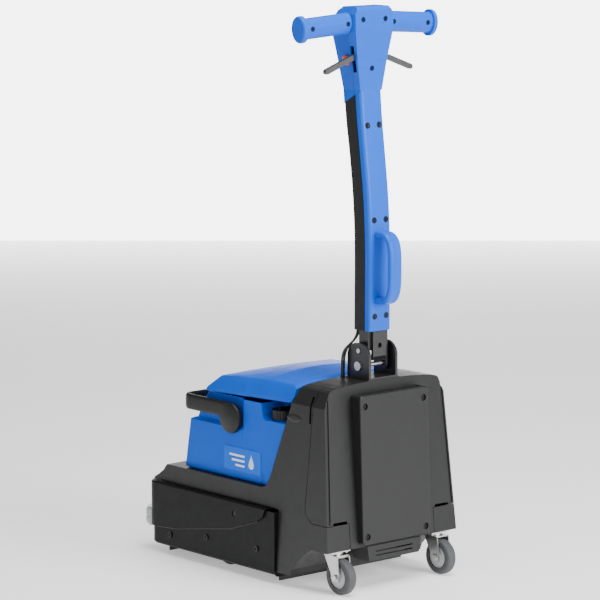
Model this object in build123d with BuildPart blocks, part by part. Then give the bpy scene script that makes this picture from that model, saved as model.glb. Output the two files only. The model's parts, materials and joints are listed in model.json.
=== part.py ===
"""Walk-behind micro scrubber: a battery floor scrubber with a cylindrical brush, a lift-off tank and a
folding handle.

Millimetres. +Z is up, -Y is the machine's front and +Y the operator's side. The origin is on the floor,
under the middle of the machine's length and width.
"""

import math
import os

from build123d import *

# ---------------------------------------------------------------- driving dimensions
# Body shell
BODY_HALF_LOW = 182.0  # half width of the body at LOW_Z
BODY_HALF_SHOULDER = 167.5  # half width at SHOULDER_Z
BODY_HALF_TOP = 153.0  # half width at TOP_Z
LOW_Z = 100.0
SHOULDER_Z = 388.0
TOP_Z = 420.0
ARCH_Z = 433.0  # crown of the top at the middle
REAR_LOW_Y = 287.0  # rear face at LOW_Z
REAR_TOP_Y = 258.5  # rear face at TOP_Z
WALL = 3.5  # moulded wall
SEAM = 1.2  # gap at a moulding seam
SEAM_TOP_Y = 228.0  # seam between the main and the rear housing, at TOP_Z
SEAM_LOW_Y = 213.0  # the same seam at the bottom of its run
SEAM_LOW_Z = 172.0
BLOCK_Z = 147.0  # top of the caster corner blocks
BLOCK_HALF = 118.0  # inner side of the corner blocks, from the middle
SKIRT_Z = 26.0  # bottom edge of the body sides
GROOVE_IN = 4.0  # upright groove of the rear corner: distance from the side, width and depth
GROOVE_WIDE = 6.0
GROOVE_DEEP = 2.4
ARCH_FLOOR_Z = 92.0  # ceiling of the caster arch
ARCH_BACK_Y = 238.0
UNDER_HALF = 78.0  # half width of the underbody between the casters
UNDER_REAR_Y = 228.0
# Deck
DECK_HALF = 190.0  # half width of the deck skirt
DECK_FRONT_Y = -294.0
DECK_REAR_Y = 128.0
DECK_TOP_Z = 158.0
DECK_LOW_Z = 15.0
DECK_CORNER = 24.0  # corner radius of the deck in plan
DECK_WALL = 4.0
DECK_PLATE_Z = 112.0  # underside of the plate over the brush
DECK_PLATE_T = 6.0
BUMPER_PROUD = 5.0  # how far the bumper stands out from the skirt
BUMPER_REAR_Y = 106.0
BUMPER_LOW_FRONT_Z = 57.0
BUMPER_LOW_REAR_Z = 127.0
ROLLER_R = 24.0
ROLLER_X = 166.0
ROLLER_Y = -297.5
ROLLER_Z = 75.0
ROLLER_TALL = 36.0
# Tank seat and tank
SEAT_Z = 197.0
SEAT_FRONT_Y = -248.0
SEAT_REAR_Y = 88.0
BACKREST_TOP_Y = 170.0  # where the slanted back of the seat meets the top of the body
TANK_HALF = 165.0
TANK_LOW_Z = 197.5
TANK_FRONT_Y = -203.0
TANK_WALL = 3.5
LID_HALF = 165.0
LID_HINGE_Y = 150.0
LID_HINGE_Z = 412.0
LID_EAR_X = 95.0
BAIL_Y = -38.0  # bail pivot
BAIL_Z = 334.0
BAIL_R = 28.0
BAIL_ARM = 34.0  # height of the bail's arm
BAIL_THICK = 12.0
BAIL_FRONT_Y = -208.0
CAP_Y = 92.0
CAP_X = 130.0
CAP_R = 27.0
CAP_LOW_Z = 342.0
CAP_TALL = 20.0
# Brush and drive
BRUSH_Y = -75.0
BRUSH_D = 100.0
BRUSH_CORE_R = 24.0
BRUSH_HALF = 148.0
BRUSH_SHAFT_R = 6.0
BRUSH_PULLEY_R = 30.0
MOTOR_PULLEY_R = 15.0
MOTOR_Y = 52.0
MOTOR_Z = 74.0
MOTOR_R = 30.0
MOTOR_LONG = 150.0
BELT_X = 166.0
BELT_W = 10.0
BELT_T = 3.0
SIDE_PLATE_X = 152.0
SIDE_PLATE_T = 4.0
BLADE_HALF = 165.0
BLADE_T = 4.0
FRONT_BLADE_Y = -262.0
REAR_BLADE_Y = 108.0
HOLDER_LOW_Z = 22.0
# Handle
PIVOT_Y = 224.0
PIVOT_Z = 460.0
PIVOT_R = 5.0
CLEVIS_IN = 34.0
CLEVIS_T = 6.0
CLEVIS_TOP_Z = 508.0
PAD_Z = 434.0
COLUMN_HALF = 30.5
COLUMN_FOOT_Z = 533.0
COLUMN_DEPTH = 53.0
COLUMN_SHELL = 3.0
COLUMN_REAR_DEPTH = 16.0
HEAD_HALF = 52.0
HEAD_TOP_Z = 1205.0
HEAD_SPLIT_Y = 196.0
GRIP_Y = 198.0
GRIP_Z = 1167.0  # grip axis height, half way out
GRIP_MID_X = 118.0
GRIP_END_X = 186.0
GRIP_TALL = 22.0  # half height of the grip's section
GRIP_DEEP = 17.0  # half depth of the grip's section
GRIP_DROOP = 3.7  # degrees
CORE_R = 9.0
LEVER_X = 30.0  # lever pivot
LEVER_Y = 206.0
LEVER_Z = 1106.0
LEVER_REACH = 91.0
LEVER_DROOP = 20.0  # degrees below level
LEVER_TALL = 11.0
LEVER_THICK = 9.0
BUTTON_Y = 187.0
BUTTON_Z = 1094.0
# Casters
WHEEL_D = 75.0
WHEEL_W = 24.0
CASTER_X = 141.0
CASTER_AXLE_Y = 284.0
CASTER_TRAIL = 22.0
AXLE_R = 4.0
FORK_T = 2.5
RUN = 0.05  # radial running clearance on pins and axles
CLEAR = 0.5  # gap between parts that move past each other
SCREW_R = 4.5

OUT = "parts"
os.makedirs(OUT, exist_ok=True)
SIDES = (-1, 1)


def save(part, name):
    """Labels one finished sub-part and writes its STEP file."""
    part.label = name
    export_step(part, f"{OUT}/{name}.step")


def half_width(z):
    """Half width of the body's side face at a height."""
    slope = (BODY_HALF_LOW - BODY_HALF_SHOULDER) / (SHOULDER_Z - LOW_Z)
    return BODY_HALF_LOW - slope * (z - LOW_Z)


def rear_y(z):
    """The body's rear face at a height."""
    return REAR_LOW_Y + (REAR_TOP_Y - REAR_LOW_Y) * (z - LOW_Z) / (TOP_Z - LOW_Z)


def backrest_y(z):
    """The slanted back of the tank seat at a height."""
    return SEAT_REAR_Y + (BACKREST_TOP_Y - SEAT_REAR_Y) * (z - SEAT_Z) / (TOP_Z - SEAT_Z)


def across(half, points, inset=0.0):
    """A side outline of (y, z) points, pulled in by inset and drawn out to half on both sides."""
    with BuildPart() as block:
        with BuildSketch(Plane.YZ.offset(-half)):
            with BuildLine():
                Polyline(*points, close=True)
            make_face()
            if inset:
                offset(amount=-inset, kind=Kind.INTERSECTION)
        extrude(amount=2 * half)
    return block.part


def along(front, rear, points, inset=0.0):
    """An outline of (x, z) points seen from behind, pulled in by inset, from y = front to y = rear."""
    with BuildPart() as block:
        with BuildSketch(Plane.XZ.offset(-rear)):
            with BuildLine():
                Polyline(*points, close=True)
            make_face()
            if inset:
                offset(amount=-inset, kind=Kind.INTERSECTION)
        extrude(amount=rear - front)
    return block.part


def box(x0, x1, y0, y1, z0, z1):
    """A box between two corners."""
    return Pos((x0 + x1) / 2, (y0 + y1) / 2, (z0 + z1) / 2) * Box(x1 - x0, y1 - y0, z1 - z0,
                                                                  mode=Mode.PRIVATE)


def rod_x(x0, x1, y, z, radius):
    """A round bar along X."""
    return Pos((x0 + x1) / 2, y, z) * Rot(0, 90, 0) * Cylinder(radius, abs(x1 - x0), mode=Mode.PRIVATE)


def rod_y(x, y0, y1, z, radius):
    """A round bar along Y."""
    return Pos(x, (y0 + y1) / 2, z) * Rot(90, 0, 0) * Cylinder(radius, abs(y1 - y0), mode=Mode.PRIVATE)


def rod_z(x, y, z0, z1, radius):
    """A round bar along Z."""
    return Pos(x, y, (z0 + z1) / 2) * Cylinder(radius, z1 - z0, mode=Mode.PRIVATE)


# ---------------------------------------------------------------- body shells
def body_block(inset):
    """The body inside its side outline and its rear outline, both pulled in by inset."""
    top = ARCH_Z + 6
    side = [
        (SEAT_FRONT_Y, SEAT_Z),
        (SEAT_REAR_Y - 16, SEAT_Z),
        (SEAT_REAR_Y - 2, SEAT_Z + 6),
        (backrest_y(SEAT_Z + 24), SEAT_Z + 24),
        (backrest_y(top), top),
        (rear_y(top), top),
        (rear_y(ARCH_FLOOR_Z), ARCH_FLOOR_Z),
        (ARCH_BACK_Y, ARCH_FLOOR_Z),
        (ARCH_BACK_Y - 26, ARCH_FLOOR_Z - 17),
        (ARCH_BACK_Y - 60, SKIRT_Z + 14),
        (ARCH_BACK_Y - 66, SKIRT_Z),
        (DECK_REAR_Y + SEAM, SKIRT_Z),
        (DECK_REAR_Y + SEAM, DECK_TOP_Z + SEAM),
        (DECK_FRONT_Y + 3, DECK_TOP_Z + SEAM),
        (DECK_FRONT_Y + 6, DECK_TOP_Z + 6),
        (DECK_FRONT_Y + 20, DECK_TOP_Z + 14),
        (DECK_FRONT_Y + 35, DECK_TOP_Z + 25),
    ]
    low = half_width(0)
    crown = [(BODY_HALF_TOP * math.cos(math.radians(a)), TOP_Z + (ARCH_Z - TOP_Z) * math.sin(math.radians(a)))
             for a in range(0, 181, 15)]
    rear = [(-BODY_HALF_SHOULDER, SHOULDER_Z), (-low, 0), (low, 0), (BODY_HALF_SHOULDER, SHOULDER_Z)] + crown
    with BuildPart() as block:
        add(across(BODY_HALF_LOW + 20, side, inset))
        add(along(DECK_FRONT_Y - 20, REAR_LOW_Y + 30, rear, inset), mode=Mode.INTERSECT)
    return block.part


def seam_region(gap):
    """What lies behind the seam: the rear housing's share of the body, grown by gap."""
    far = REAR_LOW_Y + 60
    upper = [
        (SEAM_TOP_Y - gap, ARCH_Z + 20),
        (SEAM_TOP_Y - gap, TOP_Z),
        (SEAM_LOW_Y - gap, SEAM_LOW_Z),
        (SEAM_LOW_Y + 4 - gap, SEAM_LOW_Z - 12),
        (SEAM_LOW_Y + 22 - gap, BLOCK_Z - gap),
        (far, BLOCK_Z - gap),
        (far, ARCH_Z + 20),
    ]
    with BuildPart() as region:
        add(across(BODY_HALF_LOW + 20, upper))
        add(box(-BLOCK_HALF - gap, BLOCK_HALF + gap, REAR_LOW_Y - 26, far, 0, BLOCK_Z + 5))
    return region.part


def cavity():
    """The hollow inside both housings, open downwards over the deck and ahead of the caster arch."""
    inner = half_width(LOW_Z) - 8
    with BuildPart() as hollow:
        add(body_block(WALL))
        add(box(-inner, inner, DECK_REAR_Y + SEAM + WALL, ARCH_BACK_Y - 66 - WALL, 0, DECK_TOP_Z))
        add(box(-inner, inner, DECK_FRONT_Y + 40, DECK_REAR_Y + SEAM + 20, DECK_TOP_Z - 10, DECK_TOP_Z + 12))
    return hollow.part


HOLLOW = cavity()
PAD = box(-44, 44, PIVOT_Y - 38, PIVOT_Y + 33, PAD_Z - 9, PAD_Z)
CABLE_X, CABLE_Y = 48.0, PIVOT_Y - 41

with BuildPart() as main_housing:
    add(body_block(0))
    add(HOLLOW, mode=Mode.SUBTRACT)
    add(seam_region(SEAM), mode=Mode.SUBTRACT)
    add(PAD)
    add(box(-60, 60, DECK_REAR_Y, DECK_REAR_Y + SEAM + WALL, DECK_PLATE_Z + 6, DECK_TOP_Z - 8))
    add(box(-UNDER_HALF, UNDER_HALF, DECK_REAR_Y + 6, UNDER_REAR_Y, 0, DECK_PLATE_Z), mode=Mode.SUBTRACT)
    add(rod_z(CABLE_X, CABLE_Y, ARCH_Z - 30, ARCH_Z + 10, 7.5), mode=Mode.SUBTRACT)
    for side in SIDES:  # notch in the side beside the seam
        add(box(side * 145 - 30, side * 145 + 30, SEAM_TOP_Y - 13, SEAM_TOP_Y - 7, 352, 408),
            mode=Mode.SUBTRACT)
save(main_housing.part, "main_housing")

with BuildPart() as rear_housing:
    add(body_block(0))
    add(seam_region(0), mode=Mode.INTERSECT)
    add(HOLLOW, mode=Mode.SUBTRACT)
    add(PAD, mode=Mode.SUBTRACT)
    for side in SIDES:
        # upright groove beside the corner, cut into the rear face and following the taper of the side
        low, high = BLOCK_Z + 3, SHOULDER_Z + 18
        depth = [(rear_y(z) - d, z)
                 for d, z in ((GROOVE_DEEP, low), (GROOVE_DEEP, high), (-9, high), (-9, low))]
        strip = [(side * (half_width(z) - GROOVE_IN - w), z)
                 for w, z in ((0, low), (GROOVE_WIDE, low), (GROOVE_WIDE, high), (0, high))]
        with BuildPart(mode=Mode.PRIVATE) as cut:
            add(across(220, depth))
            add(along(200, 320, strip), mode=Mode.INTERSECT)
        add(cut.part, mode=Mode.SUBTRACT)
        # exhaust slot above the caster block
        add(box(side * 143 - 19, side * 143 + 19, 262, 300, BLOCK_Z - 1, BLOCK_Z + 5), mode=Mode.SUBTRACT)
save(rear_housing.part, "rear_housing")

# ---------------------------------------------------------------- rear access cover and sill
COVER_HALF = 95.5
COVER_LOW_Z, COVER_TOP_Z = 99.0, 411.0
COVER_LOW_Y, COVER_TOP_Y = 301.6, 290.0
COVER_SCREWS = [(x, z) for x in (-82, 82) for z in (115, 388)]


def cover_y(z):
    """The access cover's outer face at a height."""
    return COVER_LOW_Y + (COVER_TOP_Y - COVER_LOW_Y) * (z - COVER_LOW_Z) / (COVER_TOP_Z - COVER_LOW_Z)


def cover_block(inset):
    """The wedge of the access cover, standing on the rear face."""
    with BuildPart() as block:
        with BuildSketch(Plane.XZ.offset(-(REAR_LOW_Y + 40))):
            with Locations((0, (COVER_LOW_Z + COVER_TOP_Z) / 2)):
                RectangleRounded(2 * (COVER_HALF - inset), COVER_TOP_Z - COVER_LOW_Z - 2 * inset, 8 - inset)
        extrude(amount=120)
        wedge = [
            (rear_y(COVER_LOW_Z - 5) - (9 if inset else 0), COVER_LOW_Z - 5),
            (cover_y(COVER_LOW_Z - 5) - inset, COVER_LOW_Z - 5),
            (cover_y(COVER_TOP_Z + 5) - inset, COVER_TOP_Z + 5),
            (rear_y(COVER_TOP_Z + 5) - (9 if inset else 0), COVER_TOP_Z + 5),
        ]
        add(across(COVER_HALF + 5, wedge), mode=Mode.INTERSECT)
    return block.part


with BuildPart() as rear_access_cover:
    add(cover_block(0))
    front_edges = rear_access_cover.edges().filter_by(
        lambda e: abs(e.center().Y - cover_y(e.center().Z)) < 0.5)
    fillet(front_edges, 2.5)
    add(cover_block(3.0), mode=Mode.SUBTRACT)
    for x, z in COVER_SCREWS:
        add(rod_y(x, rear_y(z) + 0.6, cover_y(z) - 1, z, 9.5) & cover_block(0))
        add(rod_y(x, cover_y(z) - 5, cover_y(z) + 5, z, 7.0), mode=Mode.SUBTRACT)
    # vent along the top of the cover
    add(box(-84, 84, rear_y(404) + 7, rear_y(404) + 17, 404, 415), mode=Mode.SUBTRACT)
save(rear_access_cover.part, "rear_access_cover")

with BuildPart() as cover_screws:
    for x, z in COVER_SCREWS:
        add(rod_y(x, cover_y(z) - 5, cover_y(z) - 2.2, z, SCREW_R))
        add(rod_y(x, cover_y(z) - 3.4, cover_y(z) - 2, z, 2.0), mode=Mode.SUBTRACT)
save(cover_screws.part, "cover_screws")

SILL_Z = 60.0
with BuildPart() as rear_sill:
    add(along(240, REAR_LOW_Y + 5, [(-76, ARCH_FLOOR_Z), (-70, SILL_Z), (70, SILL_Z), (76, ARCH_FLOOR_Z)]))
    add(box(-60, 60, 243, REAR_LOW_Y + 1, SILL_Z - 1, ARCH_FLOOR_Z - 4), mode=Mode.SUBTRACT)
    for z in (69, 78):
        add(box(-52, 52, REAR_LOW_Y - 2, REAR_LOW_Y + 9, z, z + 3), mode=Mode.SUBTRACT)
save(rear_sill.part, "rear_sill")

with BuildPart() as underbody:
    add(box(-UNDER_HALF, UNDER_HALF, DECK_REAR_Y + 6, UNDER_REAR_Y, 36, DECK_PLATE_Z))
    add(box(-UNDER_HALF + 6, UNDER_HALF - 6, DECK_REAR_Y + 12, UNDER_REAR_Y - 6, 42, DECK_PLATE_Z + 1),
        mode=Mode.SUBTRACT)
    add(box(-half_width(SKIRT_Z) + 24, half_width(SKIRT_Z) - 24, DECK_REAR_Y + 6, 168, DECK_PLATE_Z,
            DECK_PLATE_Z + 6))
    add(box(-BLOCK_HALF + 4, BLOCK_HALF - 4, 168, 256, DECK_PLATE_Z, DECK_PLATE_Z + 6))
save(underbody.part, "underbody")

# ---------------------------------------------------------------- deck, bumper and wall rollers
def deck_outline(grow, z0, z1):
    """The deck's plan outline, grown outwards, between two heights."""
    with BuildPart() as block:
        with BuildSketch(Plane.XY.offset(z0)):
            with Locations((0, (DECK_FRONT_Y + DECK_REAR_Y) / 2)):
                Rectangle(2 * (DECK_HALF + grow), DECK_REAR_Y - DECK_FRONT_Y + 2 * grow)
            fillet([v for v in vertices() if v.Y < 0], DECK_CORNER + grow)
        extrude(amount=z1 - z0)
    return block.part


ROLLER_POCKETS = [rod_z(s * ROLLER_X, ROLLER_Y, ROLLER_Z - ROLLER_TALL / 2 - 3,
                        ROLLER_Z + ROLLER_TALL / 2 + 3,
                        ROLLER_R + 3) for s in SIDES]

with BuildPart() as deck_skirt:
    add(deck_outline(0, DECK_LOW_Z, DECK_TOP_Z - 5))
    low_front = deck_skirt.edges().filter_by(lambda e: abs(e.center().Z - DECK_LOW_Z) < 0.1 and e.center().Y < 60)
    chamfer(low_front, 8)
    add(deck_outline(-DECK_WALL, 0, DECK_TOP_Z + 1), mode=Mode.SUBTRACT)
    for pocket in ROLLER_POCKETS:
        add(pocket, mode=Mode.SUBTRACT)
save(deck_skirt.part, "deck_skirt")

with BuildPart() as bumper_cover:
    add(deck_outline(BUMPER_PROUD, 40, DECK_TOP_Z))
    fillet(bumper_cover.edges().filter_by(lambda e: abs(e.center().Z - DECK_TOP_Z) < 0.1 and e.center().Y < 100), 3.5)
    add(deck_outline(0, 30, DECK_TOP_Z - 5), mode=Mode.SUBTRACT)
    add(deck_outline(-22, DECK_TOP_Z - 6, DECK_TOP_Z + 1), mode=Mode.SUBTRACT)
    band = [
        (DECK_FRONT_Y - 20, BUMPER_LOW_FRONT_Z),
        (-200, BUMPER_LOW_FRONT_Z + 7),
        (-16, 96),
        (76, BUMPER_LOW_REAR_Z),
        (BUMPER_REAR_Y - 12, DECK_TOP_Z - 20),
        (BUMPER_REAR_Y, DECK_TOP_Z + 5),
        (DECK_FRONT_Y - 20, DECK_TOP_Z + 5),
    ]
    add(across(DECK_HALF + 20, band), mode=Mode.INTERSECT)
    for pocket in ROLLER_POCKETS:
        add(pocket, mode=Mode.SUBTRACT)
    for side in SIDES:
        add(rod_x(side * (DECK_HALF + 1.5), side * (DECK_HALF + 12), 2, 131, 7), mode=Mode.SUBTRACT)
save(bumper_cover.part, "bumper_cover")

with BuildPart() as brush_deck:
    add(deck_outline(-DECK_WALL, DECK_PLATE_Z, DECK_PLATE_Z + DECK_PLATE_T))
    for side in SIDES:
        inner = side * SIDE_PLATE_X
        outer = side * (SIDE_PLATE_X + SIDE_PLATE_T)
        add(box(min(inner, outer), max(inner, outer), BRUSH_Y - 62, MOTOR_Y + 40, 30, DECK_PLATE_Z))
        add(rod_x(inner - side, outer + side, BRUSH_Y, BRUSH_D / 2, BRUSH_SHAFT_R + RUN), mode=Mode.SUBTRACT)
    add(rod_x(SIDE_PLATE_X - 1, SIDE_PLATE_X + 6, MOTOR_Y, MOTOR_Z, 5.0), mode=Mode.SUBTRACT)
    for y in (BRUSH_Y - 62, BRUSH_Y + 58):
        add(box(-SIDE_PLATE_X, SIDE_PLATE_X, y, y + 4, 30, DECK_PLATE_Z))
    for pocket in ROLLER_POCKETS:
        add(pocket, mode=Mode.SUBTRACT)
    add(box(-60, 60, DECK_REAR_Y - 60, DECK_REAR_Y - 40, DECK_PLATE_Z - 1, DECK_PLATE_Z + 8),
        mode=Mode.SUBTRACT)
save(brush_deck.part, "brush_deck")

with BuildPart() as roller_brackets:
    for side in SIDES:
        for z0, z1 in ((ROLLER_Z - ROLLER_TALL / 2 - 3, ROLLER_Z - ROLLER_TALL / 2 - 1),
                       (ROLLER_Z + ROLLER_TALL / 2 + 1, ROLLER_Z + ROLLER_TALL / 2 + 3)):
            add(rod_z(side * ROLLER_X, ROLLER_Y, z0, z1, ROLLER_R - 5))
            add(box(side * (ROLLER_X - 21) - 14, side * (ROLLER_X - 21) + 14, DECK_FRONT_Y + DECK_WALL,
                    DECK_FRONT_Y + DECK_WALL + 44, z0, z1))
        add(box(side * (ROLLER_X - 38) - 4, side * (ROLLER_X - 38) + 4, DECK_FRONT_Y + DECK_WALL,
                DECK_FRONT_Y + DECK_WALL + 44, ROLLER_Z - ROLLER_TALL / 2 - 3, DECK_PLATE_Z))
        add(rod_z(side * ROLLER_X, ROLLER_Y, ROLLER_Z - ROLLER_TALL / 2 - 3, ROLLER_Z + ROLLER_TALL / 2 + 3,
                  4.0))
save(roller_brackets.part, "roller_brackets")


def wall_roller(side, name):
    """One wall roller: a shallow barrel with a groove, turning on its upright pin."""
    half = ROLLER_TALL / 2
    with BuildPart() as roller:
        with BuildSketch(Plane.XZ):
            with BuildLine():
                Polyline((4 + RUN, -half), (ROLLER_R - 3, -half), (ROLLER_R, -half + 5), (ROLLER_R, -3),
                         (ROLLER_R - 1.5, -1.5), (ROLLER_R - 1.5, 1.5), (ROLLER_R, 3), (ROLLER_R, half - 5),
                         (ROLLER_R - 3, half), (4 + RUN, half), close=True)
            make_face()
        revolve(axis=Axis.Z)
    moved = Pos(side * ROLLER_X, ROLLER_Y, ROLLER_Z) * roller.part
    save(moved, name)
    return moved


wall_roller_right = wall_roller(1, "wall_roller_right")
wall_roller_left = wall_roller(-1, "wall_roller_left")

DECK_SCREWS = [(-221, 46), (-97, 62), (70, 66)]
with BuildPart() as deck_screws:
    for side in SIDES:
        for y, z in DECK_SCREWS:
            add(rod_x(side * DECK_HALF, side * (DECK_HALF + 2.4), y, z, 6.5))
            add(rod_x(side * (DECK_HALF + 1), side * (DECK_HALF + 4), y, z, 2.6), mode=Mode.SUBTRACT)
        add(rod_x(side * (DECK_HALF + 1.5), side * (DECK_HALF + 3.6), 2, 131, 6.0))
save(deck_screws.part, "deck_screws")

# ---------------------------------------------------------------- squeegees
for name, y in (("front", FRONT_BLADE_Y), ("rear", REAR_BLADE_Y)):
    with BuildPart() as holder:
        add(box(-BLADE_HALF + 6, BLADE_HALF - 6, y - 8, y + 8, HOLDER_LOW_Z, HOLDER_LOW_Z + 22))
        for x in (-90, 0, 90):
            add(box(x - 12, x + 12, y - 6, y + 6, HOLDER_LOW_Z + 22, DECK_PLATE_Z))
        add(box(-BLADE_HALF - 1, BLADE_HALF + 1, y - BLADE_T / 2, y + BLADE_T / 2, 0, HOLDER_LOW_Z + 16),
            mode=Mode.SUBTRACT)
    save(holder.part, f"squeegee_holder_{name}")
    with BuildPart() as blade:
        add(box(-BLADE_HALF + 6, BLADE_HALF - 6, y - BLADE_T / 2, y + BLADE_T / 2, 0, HOLDER_LOW_Z + 16))
    save(blade.part, f"squeegee_blade_{name}")

# ---------------------------------------------------------------- brush and its drive
with BuildPart() as brush_core:
    add(rod_x(-BRUSH_HALF, BRUSH_HALF, BRUSH_Y, BRUSH_D / 2, BRUSH_CORE_R))
    add(rod_x(-BRUSH_HALF - 12, BRUSH_HALF + 12, BRUSH_Y, BRUSH_D / 2, BRUSH_SHAFT_R))
    add(rod_x(SIDE_PLATE_X + SIDE_PLATE_T + CLEAR, BELT_X + BELT_W / 2, BRUSH_Y, BRUSH_D / 2, BRUSH_PULLEY_R))
save(brush_core.part, "brush_core")

with BuildPart() as brush_bristles:
    with BuildSketch(Plane.YZ.offset(-BRUSH_HALF + 2)):
        with Locations((BRUSH_Y, BRUSH_D / 2)):
            Circle(BRUSH_D / 2)
            Circle(BRUSH_CORE_R, mode=Mode.SUBTRACT)
    extrude(amount=2 * BRUSH_HALF - 4)
save(brush_bristles.part, "brush_bristles")

with BuildPart() as brush_motor:
    add(rod_x(SIDE_PLATE_X - MOTOR_LONG, SIDE_PLATE_X, MOTOR_Y, MOTOR_Z, MOTOR_R))
    add(rod_x(SIDE_PLATE_X - MOTOR_LONG - 14, SIDE_PLATE_X - MOTOR_LONG, MOTOR_Y, MOTOR_Z, MOTOR_R - 8))
    add(rod_x(SIDE_PLATE_X - 30, SIDE_PLATE_X + 1, MOTOR_Y, MOTOR_Z, 5.5), mode=Mode.SUBTRACT)
save(brush_motor.part, "brush_motor")

with BuildPart() as motor_pulley:
    add(rod_x(SIDE_PLATE_X - 28, BELT_X + BELT_W / 2 + 2, MOTOR_Y, MOTOR_Z, 4.0))
    add(rod_x(SIDE_PLATE_X + SIDE_PLATE_T + CLEAR, BELT_X + BELT_W / 2, MOTOR_Y, MOTOR_Z, MOTOR_PULLEY_R))
save(motor_pulley.part, "motor_pulley")


def belt_loop(grow):
    """The belt's outline around both pulleys, grown from the pulley surfaces."""
    gap = math.hypot(MOTOR_Y - BRUSH_Y, MOTOR_Z - BRUSH_D / 2)
    lean = math.atan2(MOTOR_Z - BRUSH_D / 2, MOTOR_Y - BRUSH_Y)
    big, small = BRUSH_PULLEY_R + grow, MOTOR_PULLEY_R + grow
    spread = math.acos((big - small) / gap)
    with BuildPart() as loop:
        with BuildSketch(Plane.YZ.offset(BELT_X - BELT_W / 2)):
            with Locations((BRUSH_Y, BRUSH_D / 2)):
                Circle(big)
            with Locations((MOTOR_Y, MOTOR_Z)):
                Circle(small)
            with BuildLine():
                Polyline(
                    *[(y + r * math.cos(lean + s * spread), z + r * math.sin(lean + s * spread))
                      for y, z, r, s in ((BRUSH_Y, BRUSH_D / 2, big, 1), (MOTOR_Y, MOTOR_Z, small, 1),
                                         (MOTOR_Y, MOTOR_Z, small, -1), (BRUSH_Y, BRUSH_D / 2, big, -1))],
                    close=True)
            make_face()
        extrude(amount=BELT_W)
    return loop.part


with BuildPart() as drive_belt:
    add(belt_loop(CLEAR + BELT_T))
    add(belt_loop(CLEAR), mode=Mode.SUBTRACT)
save(drive_belt.part, "drive_belt")

# ---------------------------------------------------------------- inside the body
SHELF_Z = DECK_PLATE_Z + DECK_PLATE_T
with BuildPart() as battery_pack:
    add(box(-90, 10, 140, 205, SHELF_Z, SHELF_Z + 150))
    fillet(battery_pack.edges().filter_by(Axis.Z), 6)
save(battery_pack.part, "battery_pack")

with BuildPart() as vacuum_motor:
    add(rod_z(72, 182, SHELF_Z, SHELF_Z + 70, 44))
    add(rod_z(72, 182, SHELF_Z + 70, SHELF_Z + 120, 34))
save(vacuum_motor.part, "vacuum_motor")

with BuildPart() as water_pump:
    add(box(-60, 60, -30, 20, SHELF_Z, SHELF_Z + 36))
    add(rod_y(40, 20, 34, SHELF_Z + 18, 6))
save(water_pump.part, "water_pump")

with BuildPart() as control_board:
    add(box(-86, 6, 205, 207, SHELF_Z, SHELF_Z + 120))
    for x, z in ((-70, 40), (-40, 40), (-20, 60), (-70, 85)):
        add(box(x, x + 16, 207, 216, SHELF_Z + z, SHELF_Z + z + 12))
save(control_board.part, "control_board")

# ---------------------------------------------------------------- casters
CASTER_Y = CASTER_AXLE_Y - CASTER_TRAIL
HUB_R = 24.0
LEG_X = WHEEL_W / 2 + 3.0


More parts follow.
